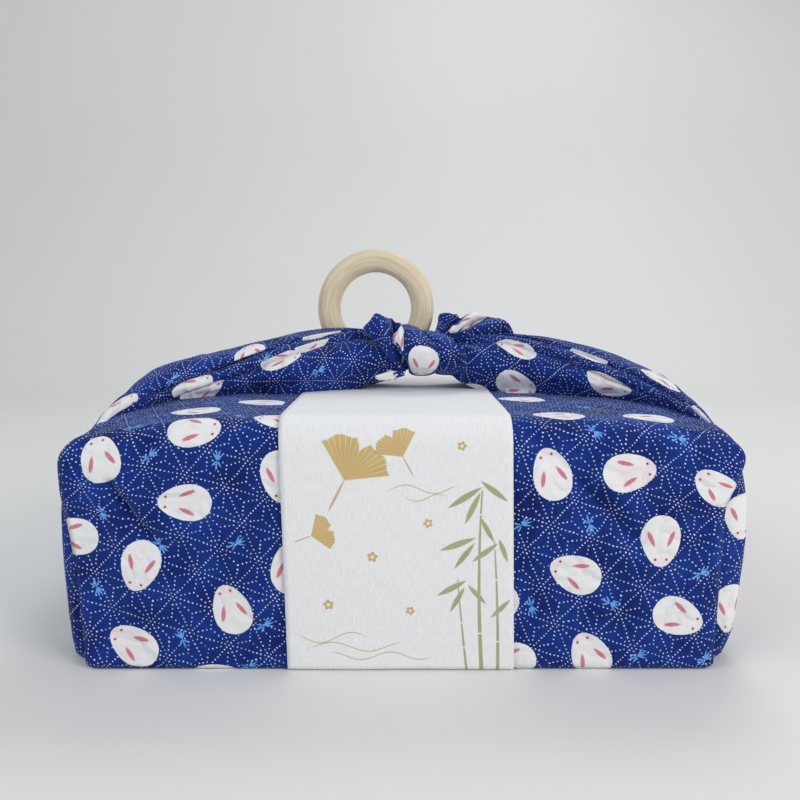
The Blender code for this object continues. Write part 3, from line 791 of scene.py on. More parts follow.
def panel_creases(x, y, z):
    """Points of the walls pressed in where a crease crosses them."""
    if z < BASE_ROUND or z > TOP_Z - BASE_ROUND:
        return x, y
    flat_front = np.abs(y) > HALF_DEPTH - 0.0001
    front_depth = trough(x, z, FRONT_CREASES)
    back_depth = trough(x, z, BACK_CREASES)
    y = y + np.where(flat_front & (y < 0), front_depth, 0) - np.where(flat_front & (y > 0), back_depth, 0)
    at_end = np.abs(y) < HALF_DEPTH - CORNER_ROWS[-1].back
    left_depth = trough(y, z, LEFT_END_CREASES)
    right_depth = trough(y, z, RIGHT_END_CREASES)
    x = x + np.where(at_end & (x < 0), left_depth, 0) - np.where(at_end & (x > 0), right_depth, 0)
    return x, y


def box_patches():
    """The cloth over the box as four patches: front with half the top, right end, back, left end."""
    edge = reader(EDGE_ROWS)
    levels = box_levels()
    rings = []
    rounds = []
    for z, inset, _ in levels:
        plan = plan_ring(edge, z)
        reach = np.where(plan[0] > 0, edge("right", z), edge("left", z))
        shrink = np.array([1 - inset / reach, np.full(len(reach), 1 - inset / HALF_DEPTH)])
        ring = np.array(panel_creases(*plan, z)) * shrink
        ring = np.append(ring, ring[:, :1], axis=1)
        rings.append(shoulder_drop(np.stack([*ring, np.full(ring.shape[1], z)], axis=-1)))
        smooth_ring = np.array(plan) * shrink
        smooth_ring = np.append(smooth_ring, smooth_ring[:, :1], axis=1)
        rounds.append(np.concatenate([[0], np.cumsum(np.hypot(*np.diff(smooth_ring, axis=1)))]))
    rings = np.array(rings)
    rounds = np.array(rounds)
    insets = np.array([level[1] for level in levels])
    lengths = np.array([level[2] for level in levels])
    size = rings.shape[1] - 1
    split = CORNER_COLUMNS // 2
    right_start = FRONT_COLUMNS + split
    back_start = FRONT_COLUMNS + 2 * CORNER_COLUMNS + END_COLUMNS - 1 - split
    back_end = back_start + BACK_COLUMNS + 2 * split
    left_end = size - split
    heights = np.array([level[0] for level in levels])
    on_top = np.repeat((heights > TOP_Z - 1e-6)[:, None], rings.shape[1], axis=1)

    ranges = {
        "front": np.arange(left_end, size + right_start + 1) % size,
        "right": np.arange(right_start, back_start + 1),
        "back": np.arange(back_start, back_end + 1),
        "left": np.arange(back_end, left_end + 1),
    }
    girth = 2 * (lengths[-1] + HALF_DEPTH - insets[-1])
    patches = []
    for name, columns in ranges.items():
        points = rings[:, columns]
        x = points[:, :, 0] + BOX_TO_ORIGIN_X
        around = rounds[:, columns].copy()
        wrapped = np.diff(around, axis=1) < 0
        around[:, 1:] += np.cumsum(np.where(wrapped, rounds[:, -1:], 0), axis=1)
        up = np.repeat(lengths[:, None], len(columns), axis=1)
        if name == "front":
            middle = around[:, split + 1] - x[:, split + 1]
            u = np.where(insets[:, None] > 0.005, x, around - middle[:, None])
            top_start = TOP_Z - TOP_ROUND + TOP_ROUND * math.pi / 2
            up = np.where(on_top[:, columns], top_start + points[:, :, 1] + HALF_DEPTH - TOP_ROUND, up)
            patches.append(Patch(name, points, u * MM, up * MM))
        elif name == "back":
            patches.append(Patch(name, points, x * MM, (girth - up) * MM))
        else:
            u = np.repeat(around[20:21], len(levels), axis=0)
            patches.append(Patch(name, points, u * MM, up * MM))
    return patches


def over_box(s):
    """Place (y, z) and outward direction at a length s up the front, over the top and down the back."""
    wall = TOP_Z - TOP_ROUND
    bend = TOP_ROUND * math.pi / 2
    top = 2 * (HALF_DEPTH - TOP_ROUND)
    turn_front = np.clip((s - wall) / bend, 0, 1) * math.pi / 2
    turn_back = np.clip((s - wall - bend - top) / bend, 0, 1) * math.pi / 2
    y = -HALF_DEPTH + TOP_ROUND * (1 - np.cos(turn_front))
    y = y + np.clip(s - wall - bend, 0, top) + TOP_ROUND * np.sin(turn_back)
    z = np.clip(s, 0, wall) + TOP_ROUND * np.sin(turn_front) - TOP_ROUND * (1 - np.cos(turn_back))
    z = z - np.clip(s - wall - 2 * bend - top, 0, None)
    turn = turn_front + turn_back
    return y, z, -np.cos(turn), np.sin(turn)


def top_flap():
    """The front corner of the cloth laid over the top and down the back, narrowing to its tip."""
    top_start = TOP_Z - TOP_ROUND + TOP_ROUND * math.pi / 2
    first = top_start + FLAP_START_Y + HALF_DEPTH - TOP_ROUND
    last = top_start + 2 * (HALF_DEPTH - TOP_ROUND) + TOP_ROUND * math.pi / 2 + TOP_Z - TOP_ROUND - FLAP_TIP_Z
    s = np.linspace(first, last, 110)[:, None]
    t = np.linspace(-1, 1, 90)[None, :]
    half = np.minimum(FLAP_HALF_WIDTH, last - s + 0.004)
    x = t * half
    s = s + 0 * t
    y, z, out_y, out_z = over_box(s)
    lift = FLAP_OFF * ease((s - first) / 0.04) - 0.0004 * (1 - ease((s - first) / 0.01))
    hem = (1 - ease((half - np.abs(t * half)) / 0.004)) * (half < FLAP_HALF_WIDTH - 0.001)
    lift = lift + 0.0003 * hem
    points = shoulder_drop(np.stack([x, y + out_y * lift, z + out_z * lift], axis=-1))
    return Patch("flap", points, (x + BOX_TO_ORIGIN_X) * MM, s * MM)


def pleat_turns(x, pleats):
    """Where the pleats lie round the section at this station, from the front foot to the back foot."""
    turns = []
    for pleat in pleats:
        share = min(max((x - pleat.x_outer) / (pleat.x_inner - pleat.x_outer), 0.0), 1.0)
        turns.append(pleat.turn_outer + share * (pleat.turn_inner - pleat.turn_outer))
    return turns


def fold_run(x, pleats, fold):
    """Places round the section of one fold and how far each is drawn in."""
    bounds = [0.0, *pleat_turns(x, pleats), 1.0]
    depths = [0.0, *(pleat.depth for pleat in pleats), 0.0]
    start = bounds[fold]
    end = bounds[fold + 1]
    slips_at_end = fold < TOP_FOLD
    slips_at_start = fold > TOP_FOLD
    if not slips_at_start and fold > 0:
        start -= PLEAT_LAP
    if not slips_at_end and fold < len(bounds) - 2:
        end += PLEAT_LAP
    most = PLEAT_SHARE * (end - start) * FOLD_GIRTH
    share = np.linspace(0, 1, FOLD_STEPS[fold] + 1)
    drawn = np.zeros(len(share))
    if slips_at_end:
        drawn = min(depths[fold + 1], most) * share**PLEAT_SLIP
    if slips_at_start:
        drawn = min(depths[fold], most) * (1 - share) ** PLEAT_SLIP
    return start + share * (end - start), drawn


def arm_points(arm, x, turns, drawn):
    """Points of an arm's section at one station."""
    front = arm("front", x)
    back = arm("back", x)
    ridge_y = arm("ridge_y", x)
    under_z = arm("under_z", x)
    rise = arm("ridge_z", x) - under_z
    foot = np.where(turns < 0.5, ridge_y - front, back - ridge_y)
    tuck = ARM_TUCK * (1 - ease(np.minimum(turns, 1 - turns) / ARM_TUCK_TURN))
    y = ridge_y - (foot - drawn - tuck) * np.cos(turns * math.pi)
    z = under_z + (rise - drawn) * np.clip(np.sin(turns * math.pi), 0, None) ** DOME_POWER
    return shoulder_drop(np.stack([np.full(len(y), x), y, z], axis=-1))


def chart_of(points):
    """Lengths along and across a grid of points, measured over the cloth from its middle row."""
    rows, columns = points.shape[:2]
    along = np.linalg.norm(np.diff(points[:, columns // 2], axis=0), axis=1)
    u = np.repeat(np.concatenate([[0], np.cumsum(along)])[:, None], columns, axis=1)
    across = np.linalg.norm(np.diff(points, axis=1), axis=2)
    v = np.concatenate([np.zeros((rows, 1)), np.cumsum(across, axis=1)], axis=1)
    v = v - v[:, columns // 2 : columns // 2 + 1]
    return u * MM, v * MM


def arm_patches(name, rows, pleats, side):
    """The folds of one gathered arm, each with its own stretch of the print, and the arm's underside."""
    arm = reader(rows)
    even = np.linspace(0, len(rows) - 1, ARM_STATIONS)
    stations = np.interp(even, range(len(rows)), [row.x for row in rows])
    folds = []
    for fold in range(len(pleats) + 1):
        grid = []
        for x in stations:
            turns, drawn = fold_run(x, pleats, fold)
            grid.append(arm_points(arm, x, turns, drawn))
        folds.append(np.array(grid))
    patches = []
    for fold, grid in enumerate(folds):
        if fold + 1 < len(folds):
            grid = np.concatenate([grid, folds[fold + 1][:, :1]], axis=1)
        u, v = chart_of(grid)
        u = u * side
        patches.append(Patch(f"{name}_{fold}", grid, u, v))
    under = []
    for station, x in enumerate(stations):
        last = folds[-1][station, -1]
        first = folds[0][station, 0]
        share = np.linspace(0, 1, UNDER_STEPS + 2)[:, None]
        under.append(last + share * (first - last))
    under = np.array(under)
    u, v = chart_of(under)
    patches.append(Patch(name + "_under", under, u, v))
    return patches


def lobe_patch(name, rows, tilt):
    """One lobe of the knot: cloth from the top pinch over the front to the lower pinch and on behind."""
    read = reader(rows)
    t = np.linspace(-1, 1, LOBE_STEPS_ACROSS)
    arch = LOBE_CROWN + (1 - LOBE_CROWN) * np.sqrt(np.clip(1 - np.abs(t) ** LOBE_POWER, 0, 1))
    grid = []
    for turn in np.linspace(-0.35, 1.35, LOBE_STEPS):
        held = min(max(turn, 0.0), 1.0)
        left = read("left", held)
        right = read("right", held)
        angle = math.pi * (0.5 - turn)
        out = read("reach", held) * arch
        across = (left + right) / 2 + (right - left) / 2 * t
        y = KNOT_Y - KNOT_HALF_Y * out * math.cos(angle)
        z = KNOT_Z + KNOT_HALF_Z * out * math.sin(angle) + tilt * t * max(math.sin(angle), 0)
        grid.append(np.stack([across, y, z], axis=-1))
    grid = np.array(grid)
    return Patch(name, grid, *chart_of(grid))


def fan_patch(name, base, rim, thickness):
    """A gathered end of cloth: it fans out from its base, turns over at the rim and comes back behind."""
    at = np.arange(len(rim))
    fine = np.linspace(0, len(rim) - 1, FAN_STEPS_AROUND)
    x, y, z, puff = (smooth(at, column, fine) for column in np.array(rim).T)
    share = (fine / fine[-1])[:, None]
    root = np.array(base[0]) * (1 - share) + np.array(base[1]) * share
    edge = np.stack([x, y, z], axis=-1)
    grid = []
    for out in np.linspace(0.02, 1, FAN_STEPS_OUT):
        point = root + (edge - root) * out**0.9
        belly = puff * math.sin(math.pi * min(out, 0.97) * 0.8)
        point[:, 1] -= belly + thickness / 2 * math.sqrt(1 - out**4) * out
        grid.append(point)
    for out in np.linspace(1, 0.05, FAN_STEPS_OUT // 2)[1:]:
        point = root + (edge - root) * out**0.9
        point[:, 1] += thickness * math.sqrt(1 - out**4) * out - puff * 0.3
        grid.append(point)
    grid = np.array(grid)
    return Patch(name, grid, *chart_of(grid))


def knot_patches():
    return [
        lobe_patch("left_lobe", LEFT_LOBE, LEFT_LOBE_TILT),
        lobe_patch("right_lobe", RIGHT_LOBE, RIGHT_LOBE_TILT),
        fan_patch("left_tail", LEFT_TAIL_BASE, LEFT_TAIL_RIM, TAIL_THICKNESS),
        fan_patch("right_tail", RIGHT_TAIL_BASE, RIGHT_TAIL_RIM, TAIL_THICKNESS),
        fan_patch("sliver", SLIVER_BASE, SLIVER_RIM, FOLD_THICKNESS),
        fan_patch("low_fold", LOW_FOLD_BASE, LOW_FOLD_RIM, FOLD_THICKNESS),
    ]


def pinch_folds(places):
    """Height of the folds that run out from the two pinches."""
    x, y, z = places.T
    height = np.zeros(len(x))
    for (pinch_x, pinch_z), side in ((LEFT_PINCH, -1), (RIGHT_PINCH, 1)):
        run = side * (x - BOX_TO_ORIGIN_X - pinch_x)
        rise = z - pinch_z
        away = np.hypot(run, rise)
        waves = np.cos(PINCH_FOLDS * np.arctan2(rise, run) + PINCH_FOLD_CURL * away)
        fade = np.exp(-away / PINCH_REACH) * ease(run / 0.004) * ease(away / 0.006)
        height += PINCH_FOLD_HEIGHT * waves * fade
    return height


def ripple(places, kind):
    return kind.height * value_noise(places, kind.size, kind.seed)


def cloth_ripple(places):
    """Depth of the small unevenness of worn, folded cotton at places of the parcel."""
    z = places[:, 2]
    stretched = places * np.array([1.0, 1.0, 0.6])
    depth = sum(ripple(stretched, kind) for kind in BOX_RIPPLES) + ripple(places, FINE_RIPPLE)
    line = value_noise(places @ RIPPLE_TURN, LONG_CREASE.size, LONG_CREASE.seed)
    crease = np.exp(-np.abs(line) / LONG_CREASE_WIDTH) * ease(0.5 + ripple(places, BARE_PLACES))
    depth -= LONG_CREASE.height * crease
    pulled = places * np.array([0.18, 1.0, 1.0])
    tension = sum(ripple(pulled, kind) for kind in ARM_RIPPLES)
    on_arm = ease((z - ARM_FROM_Z) / 0.004)
    near_floor = ease(z / STILL_BELOW_Z)
    return depth * near_floor * (1 - on_arm) + (tension + pinch_folds(places)) * on_arm


def cloth():
    patches = box_patches()
    patches.append(top_flap())
    patches += arm_patches("left_arm", LEFT_ARM, LEFT_PLEATS, 1)
    patches += arm_patches("right_arm", RIGHT_ARM, RIGHT_PLEATS, -1)
    patches += knot_patches()
    piece = join_patches("furoshiki_cloth", patches)
    displace(piece, cloth_ripple)
    return piece


def belly_band():
    """The paper strip round the parcel: a closed thin sheet."""
    off = BAND_OFF_CLOTH
    half = HALF_DEPTH + off
    top = TOP_Z + off
    foot = BAND_FOOT_ROUND
    outline = []
    centres = (
        (half - foot, BAND_BASE_Z + foot, foot, -90),
        (half - TOP_ROUND, top - TOP_ROUND, TOP_ROUND, 0),
        (-half + TOP_ROUND, top - TOP_ROUND, TOP_ROUND, 90),
        (-half + foot, BAND_BASE_Z + foot, foot, 180),
    )
    for y, z, radius, start in centres:
        for step in range(ARC_POINTS):
            turn = math.radians(start + 90 * step / (ARC_POINTS - 1))
            outline.append((y + radius * math.cos(turn), z + radius * math.sin(turn)))
    outline.append(outline[0])
    bends = np.array(outline)
    lengths = np.concatenate([[0], np.cumsum(np.linalg.norm(np.diff(bends, axis=0), axis=1))])
    fine = np.unique(np.concatenate([lengths, np.arange(0, lengths[-1], BAND_STEP)]))
    y = np.interp(fine, lengths, bends[:, 0])[:, None]
    z = np.interp(fine, lengths, bends[:, 1])[:, None]
    t = np.linspace(-1, 1, BAND_COLUMNS)[None, :]
    x = BAND_MIDDLE_X + BOX_TO_ORIGIN_X + BAND_HALF_WIDTH * t + BAND_LEAN * z
    points = np.stack([x + 0 * y, y + 0 * x, z + 0 * x], axis=-1)
    quads = grid_quads(*points.shape[:2])
    front_foot = lengths[3 * ARC_POINTS] + BAND_BASE_Z + foot
    u = np.broadcast_to(t * BAND_HALF_WIDTH, points.shape[:2])
    v = np.broadcast_to(front_foot - fine[:, None], points.shape[:2])
    flat = np.stack([u.ravel(), v.ravel()], axis=-1)[quads] * MM
    piece = welded_piece("belly_band", points, quads, {"print": flat}, face_outwards)
    displace(piece, lambda places: ripple(places, BAND_RIPPLE))
    sheet = piece.modifiers.new("paper", "SOLIDIFY")
    sheet.thickness = BAND_PAPER
    sheet.offset = 1.0
    return piece


def turned_ring():
    """The ring, its section a rounded oblong."""
    turns = np.linspace(0, 2 * math.pi, RING_STEPS)[:, None]
    section = np.linspace(0, 2 * math.pi, RING_SECTION_STEPS)[None, :]
    out, aside = np.cos(section), np.sin(section)
    radial = RING_MINOR * np.sign(out) * np.abs(out) ** RING_POWER
    deep = RING_MINOR * RING_FLATTEN * np.sign(aside) * np.abs(aside) ** RING_POWER
    radius = RING_MAJOR + radial
    x = RING_PLACE[0] + BOX_TO_ORIGIN_X + radius * np.cos(turns)
    z = RING_PLACE[2] + radius * np.sin(turns)
    y = RING_PLACE[1] + deep + 0 * turns
    points = np.stack([x, y, z], axis=-1)
    quads = grid_quads(RING_STEPS, RING_SECTION_STEPS)
    return welded_piece("turned_ring", points, quads, {}, face_outwards)


class Nodes:
    """Short calls that add and link the nodes of one material."""

    def __init__(self, name):
        self.material = bpy.data.materials.new(name)
        self.material.use_nodes = True
        self.tree = self.material.node_tree
        self.shader = self.tree.nodes["Principled BSDF"]

    def add(self, kind, **values):
        node = self.tree.nodes.new(kind)
        for key, value in values.items():
            setattr(node, key, value)
        return node

    def put(self, socket, value):
        if isinstance(value, bpy.types.NodeSocket):
            self.tree.links.new(value, socket)
        elif value is not None:
            socket.default_value = value

    def math(self, operation, a, b=None, c=None):
        node = self.add("ShaderNodeMath", operation=operation)
        for socket, value in zip(node.inputs, (a, b, c)):
            self.put(socket, value)
        return node.outputs[0]

    def plus(self, a, b):
        return self.math("ADD", a, b)

    def minus(self, a, b):
        return self.math("SUBTRACT", a, b)

    def times(self, a, b):
        return self.math("MULTIPLY", a, b)

    def over(self, a, b):
        return self.math("DIVIDE", a, b)

    def times_plus(self, a, b, c):
        return self.math("MULTIPLY_ADD", a, b, c)

    def size(self, a):
        return self.math("ABSOLUTE", a)

    def lower(self, a, b):
        return self.math("MINIMUM", a, b)

    def higher(self, a, b):
        return self.math("MAXIMUM", a, b)

    def vector(self, operation, a, b=None, c=None, scale=None):
        node = self.add("ShaderNodeVectorMath", operation=operation)
        for socket, value in zip(node.inputs, (a, b, c)):
            self.put(socket, value)
        if scale is not None:
            self.put(node.inputs["Scale"], scale)
        single = operation in ("DOT_PRODUCT", "LENGTH", "DISTANCE")
        return node.outputs[1] if single else node.outputs[0]

    def parts(self, vector):
        node = self.add("ShaderNodeSeparateXYZ")
        self.put(node.inputs[0], vector)
        return node.outputs[0], node.outputs[1], node.outputs[2]

    def join(self, x, y, z=0.0):
        node = self.add("ShaderNodeCombineXYZ")
        for socket, value in zip(node.inputs, (x, y, z)):
            self.put(socket, value)
        return node.outputs[0]

    def chart(self, name):
        return self.add("ShaderNodeUVMap", uv_map=name).outputs[0]

    def noise(self, vector, scale, detail=2.0, rough=0.5, colour=False):
        node = self.add("ShaderNodeTexNoise")
        self.put(node.inputs["Vector"], vector)
        self.put(node.inputs["Scale"], scale)
        self.put(node.inputs["Detail"], detail)
        self.put(node.inputs["Roughness"], rough)
        return node.outputs["Color" if colour else "Fac"]

    def mix(self, share, a, b):
        node = self.add("ShaderNodeMix", data_type="RGBA")
        self.put(node.inputs["Factor"], share)
        self.put(node.inputs[6], (*a, 1.0) if isinstance(a, tuple) else a)
        self.put(node.inputs[7], (*b, 1.0) if isinstance(b, tuple) else b)
        return node.outputs[2]

    def span(self, value, low, high, to_low=0.0, to_high=1.0):
        """The value carried from one range to another, held at its ends."""
        node = self.add("ShaderNodeMapRange")
        for socket, number in zip(node.inputs, (value, low, high, to_low, to_high)):
            self.put(socket, number)
        return node.outputs[0]

    def bump(self, height, distance, strength=1.0, under=None):
        node = self.add("ShaderNodeBump")
        self.put(node.inputs["Strength"], strength)
        self.put(node.inputs["Distance"], distance)
        self.put(node.inputs["Height"], height)
        if under is not None:
            self.put(node.inputs["Normal"], under)
        return node.outputs[0]

    def finish(self, colour, roughness, normal=None, **fixed):
        self.put(self.shader.inputs["Base Color"], colour)
        self.put(self.shader.inputs["Roughness"], roughness)
        if normal is not None:
            self.put(self.shader.inputs["Normal"], normal)
        for key, value in fixed.items():
            self.shader.inputs[key].default_value = value
        return self.material


def srgb(red, green, blue):
    """A colour of 0 to 255 as shown, in the shader's linear numbers."""
    return tuple(
        (v / 255 / 12.92) if v <= 10 else ((v / 255 + 0.055) / 1.055) ** 2.4 for v in (red, green, blue)
    )


def colours(pair):
    return [srgb(*colour) for colour in pair]


def hemp_leaf_dots(n, chart):
    """1 on the dots of the hemp-leaf lattice: folded onto one sector round the nearest lattice point."""
    wobble = n.vector("SUBTRACT", n.noise(chart, 0.10, 1.0, colour=True), (0.5, 0.5, 0.5))
    shaken = n.vector("SUBTRACT", n.noise(chart, 0.9, 1.0, colour=True), (0.5, 0.5, 0.5))
    moved = n.vector("ADD", chart, n.vector("SCALE", wobble, scale=LATTICE_WOBBLE))
    moved = n.vector("ADD", moved, n.vector("SCALE", shaken, scale=DOT_JITTER))
    turn = math.radians(LATTICE_TURN)
    along = n.vector("DOT_PRODUCT", moved, (math.cos(turn), math.sin(turn), 0))
    across = n.vector("DOT_PRODUCT", moved, (-math.sin(turn), math.cos(turn), 0))
    x = n.over(along, LATTICE_ALONG)
    y = n.over(across, LATTICE_ACROSS)
    point = n.join(x, y)
    half = (LATTICE_SIDE / 2, LATTICE_SIDE * math.sqrt(3) / 2, 1.0)
    minus = tuple(-v for v in half)
    first = n.vector("WRAP", point, half, minus)
    second = n.vector("WRAP", n.vector("ADD", point, (half[0], half[1], 0)), half, minus)
    closer = n.math("GREATER_THAN", n.vector("LENGTH", first), n.vector("LENGTH", second))
    pick = n.add("ShaderNodeMix", data_type="VECTOR")
    n.put(pick.inputs["Factor"], closer)
    n.put(pick.inputs[4], first)
    n.put(pick.inputs[5], second)
    folded = n.vector("ABSOLUTE", pick.outputs[1])
    third = math.radians(30)
    normal = (-math.sin(third), math.cos(third), 0)
    over = n.higher(n.vector("DOT_PRODUCT", folded, normal), 0.0)
    folded = n.vector("SUBTRACT", folded, n.vector("SCALE", normal, scale=n.times(over, 2.0)))
    folded = n.vector("ABSOLUTE", folded)
    fx, fy, _ = n.parts(folded)
    edge_step = LATTICE_SIDE / DOTS_ON_EDGE
    on_edge = n.vector("LENGTH", n.join(n.math("PINGPONG", fx, edge_step / 2), fy))
    spoke_along = n.vector("DOT_PRODUCT", folded, (math.cos(third), math.sin(third), 0))
    spoke_across = n.vector("DOT_PRODUCT", folded, normal)
    spoke_step = LATTICE_SIDE / math.sqrt(3) / DOTS_ON_SPOKE
    number = n.math("ROUND", n.over(spoke_along, spoke_step))
    number = n.lower(n.higher(number, 2.0), DOTS_ON_SPOKE)
    off = n.minus(spoke_along, n.times(number, spoke_step))
    on_spoke = n.vector("LENGTH", n.join(off, spoke_across))
    nearest = n.lower(on_edge, on_spoke)
    size = n.span(n.noise(chart, 0.45, 1.0), 0.3, 0.7, DOT_RADIUS * 0.75, DOT_RADIUS * 1.25)
    return n.span(n.minus(size, nearest), -0.06, 0.06)


def egg(n, x, y, half_length, half_width, taper):
    """Below 0 inside an egg that narrows towards +x."""
    width = n.times_plus(x, -taper * half_width / half_length, half_width)
    place = n.join(n.over(x, half_length), n.over(y, width))
    return n.minus(n.vector("LENGTH", place), 1.0)


def within(n, distance, soft):
    return n.span(distance, soft, -soft)


def printed_cotton():
    n = Nodes("printed_cotton")
    chart = n.chart("print")
    dots = hemp_leaf_dots(n, chart)

    rx, ry, _ = n.parts(n.chart("rabbit"))
    edge_noise = n.times(n.minus(n.noise(chart, 0.7, 1.0), 0.5), 0.05)
    outline = egg(n, rx, ry, RABBIT_HALF_LENGTH, RABBIT_HALF_WIDTH, RABBIT_TAPER)
    body = within(n, n.plus(outline, edge_noise), 0.012)
    side = n.size(ry)
    lean = math.radians(EAR_LEAN)
    ear_x = n.minus(rx, EAR_MIDDLE[0])
    ear_y = n.minus(side, EAR_MIDDLE[1])
    ear_along = n.plus(n.times(ear_x, math.cos(lean)), n.times(ear_y, -math.sin(lean)))
    ear_across = n.plus(n.times(ear_x, math.sin(lean)), n.times(ear_y, math.cos(lean)))
    streak = n.noise(n.vector("MULTIPLY", n.join(ear_along, ear_across), (0.5, 3.2, 1.0)), 1.0, 2.0)
    brushed = n.times(n.minus(streak, 0.5), 0.55)
    ear = egg(n, ear_along, ear_across, EAR_HALF_LENGTH, EAR_HALF_WIDTH, 0.12)
    ears = within(n, n.plus(ear, brushed), 0.16)
    eye = n.vector("LENGTH", n.join(n.minus(rx, EYE_MIDDLE[0]), n.minus(side, EYE_MIDDLE[1])))
    eyes = within(n, n.minus(eye, EYE_RADIUS), 0.1)
    halo = n.span(eye, 1.3, 0.5, 0.0, 0.45)
    nose = n.span(rx, 7.5, 12.5, 0.0, 0.22)

    sx, sy, _ = n.parts(n.chart("sprig"))
    needle_side = n.size(sy)
    strokes = []
    for degrees, reach, start in NEEDLES:
        lean = math.radians(degrees)
        along = n.times_plus(sx, math.cos(lean), n.times(needle_side, math.sin(lean)))
        aside = n.times_plus(sx, -math.sin(lean), n.times(needle_side, math.cos(lean)))
        needle = egg(n, n.minus(along, start), aside, reach, NEEDLE_HALF_WIDTH, 0.3)
        strokes.append(within(n, needle, 0.3))
    sprig = union(n, strokes)

    # Random patches of darker and lighter blue over the cloth: painted light and shade that stand in for the
    # cotton's soft relief
    painted_light_patches = n.span(n.noise(chart, 0.045, 3.0), 0.32, 0.68)
    ground = n.mix(painted_light_patches, *colours(COTTON_BLUES_SHADED_TO_LIT))
    ink = n.noise(chart, 1.6, 2.0)
    white = n.mix(ink, *colours(RABBIT_WHITES))
    blush = n.span(n.noise(chart, 0.035, 1.0), 0.5, 0.62, 0.0, 0.35)
    white = n.mix(blush, white, srgb(*RABBIT_BLUSH))
    white = n.mix(nose, white, srgb(*NOSE_PINK))
    white = n.mix(halo, white, srgb(*EAR_PINKS[1]))
    colour = n.mix(n.times(dots, 0.94), ground, srgb(*DOT_WHITE))
    colour = n.mix(n.times(sprig, 0.95), colour, srgb(*SPRIG_BLUE))
    colour = n.mix(body, colour, white)
    pink = n.mix(streak, *colours(EAR_PINKS))
    colour = n.mix(n.times(ears, body), colour, pink)
    colour = n.mix(n.times(eyes, body), colour, srgb(*EYE_RED))

    px, py, _ = n.parts(chart)
    warp = n.math("SINE", n.times(px, 2 * math.pi / THREAD_PITCH[0]))
    weft = n.math("SINE", n.times(py, 2 * math.pi / THREAD_PITCH[1]))
    weave = n.times(warp, weft)
    slub = n.noise(n.vector("MULTIPLY", chart, (0.35, 3.0, 1.0)), 1.0, 2.0)
    normal = n.bump(n.plus(n.times(weave, 0.5), slub), 0.00008, 0.5)
    crumple = n.noise(chart, 0.12, 3.0, 0.5)
    normal = n.bump(crumple, 0.0012, 0.5, normal)
    elsewhere = n.vector("ADD", chart, (37.0, 11.0, 0.0))
    facets = n.size(n.minus(n.noise(elsewhere, 0.055, 2.0), 0.5))
    normal = n.bump(n.lower(facets, 0.12), 0.012, 0.6, normal)
    rough = n.span(n.noise(chart, 0.6, 2.0), 0.3, 0.7, 0.72, 0.88)
    shade = n.span(weave, -1, 1, 0.93, 1.04)
    colour = n.vector("SCALE", colour, scale=shade)
    sheen = {"Sheen Weight": 0.12, "Sheen Roughness": 0.5, "Sheen Tint": (0.55, 0.78, 1.0, 1.0)}
    return n.finish(colour, rough, normal, **sheen, **{"Specular IOR Level": 0.12})


def placed(n, u, v, leaf):
    """Chart places in a leaf's own frame: along it and to its side."""
    turn = math.radians(leaf.turn)
    across = n.minus(u, leaf.u)
    up = n.minus(v, leaf.v)
    x = n.times_plus(across, math.cos(turn), n.times(up, math.sin(turn)))
    y = n.times_plus(across, -math.sin(turn), n.times(up, math.cos(turn)))
    return x, y


def fan_leaf(n, u, v, leaf):
    """A ginkgo-like leaf: its mask, and the mask of its fine veins."""
    x, y = placed(n, u, v, leaf)
    radius = n.over(n.vector("LENGTH", n.join(x, y)), leaf.length)
    angle = n.math("ARCTAN2", n.size(y), x)
    waves = n.times(n.math("COSINE", n.times(angle, 11.0)), 0.03)
    rim = n.plus(n.span(angle, 0.0, 0.16, 0.70, 1.0), waves)
    inner = n.minus(rim, radius)
    side = n.times(n.minus(0.98, angle), radius)
    blade = n.span(n.lower(inner, side), -0.01, 0.02)
    length = leaf.length
    stalk = within(n, egg(n, n.plus(x, 0.36 * length), y, 0.40 * length, 0.028 * length, 0.2), 0.15)
    veins = n.span(n.math("PINGPONG", angle, 0.07), 0.012, 0.004)
    fade = n.span(radius, 0.2, 0.9, 0.2, 1.0)
    return n.higher(blade, stalk), n.times(veins, fade)


def blade_leaf(n, u, v, leaf):
    """A narrow leaf, pointed at both ends."""
    x, y = placed(n, u, v, leaf)
    along = n.over(x, leaf.length)
    narrow = n.minus(1.0, n.times(along, along))
    aside = n.over(n.size(y), leaf.half_width)
    return n.span(n.minus(narrow, aside), -0.10, 0.15)


def bamboo_stem(n, u, v, stem):
    """A thin stem with short gaps at its joints."""
    curve = n.times_plus(v, stem.lean, stem.u)
    curve = n.plus(curve, n.times(n.times(v, v), stem.bend))
    away = n.size(n.minus(u, curve))
    width = n.span(v, 0.0, stem.height, stem.half_width, stem.half_width * 0.35)
    shaft = n.span(n.minus(width, away), -0.1, 0.1)
    joints = n.span(n.math("PINGPONG", v, stem.joint_step / 2), 0.25, 0.45)
    return n.times(n.times(shaft, joints), n.span(v, stem.height, stem.height - 1.0))


def blossom(n, u, v, place):
    """A small five-petalled flower with an open eye."""
    x, y = placed(n, u, v, place)
    radius = n.over(n.vector("LENGTH", n.join(x, y)), place.length)
    petals = n.math("COSINE", n.times(n.math("ARCTAN2", y, x), 5.0))
    rim = n.times_plus(petals, 0.16, 0.84)
    flower = n.span(n.minus(rim, radius), -0.04, 0.04)
    return n.times(flower, n.span(radius, 0.26, 0.34))


def flowing_line(n, u, v, flow):
    """A thin line that rises and falls."""
    turn = n.times_plus(u, 2 * math.pi / flow.length, flow.phase)
    rise = n.times_plus(n.math("SINE", turn), flow.height, flow.v)
    line = n.span(n.size(n.minus(v, rise)), 0.32, 0.14)
    ends = n.times(n.span(u, flow.u0, flow.u0 + 6), n.span(u, flow.u1, flow.u1 - 6))
    return n.times(line, ends)


def union(n, masks):
    total = masks[0]
    for mask in masks[1:]:
        total = n.higher(total, mask)
    return total


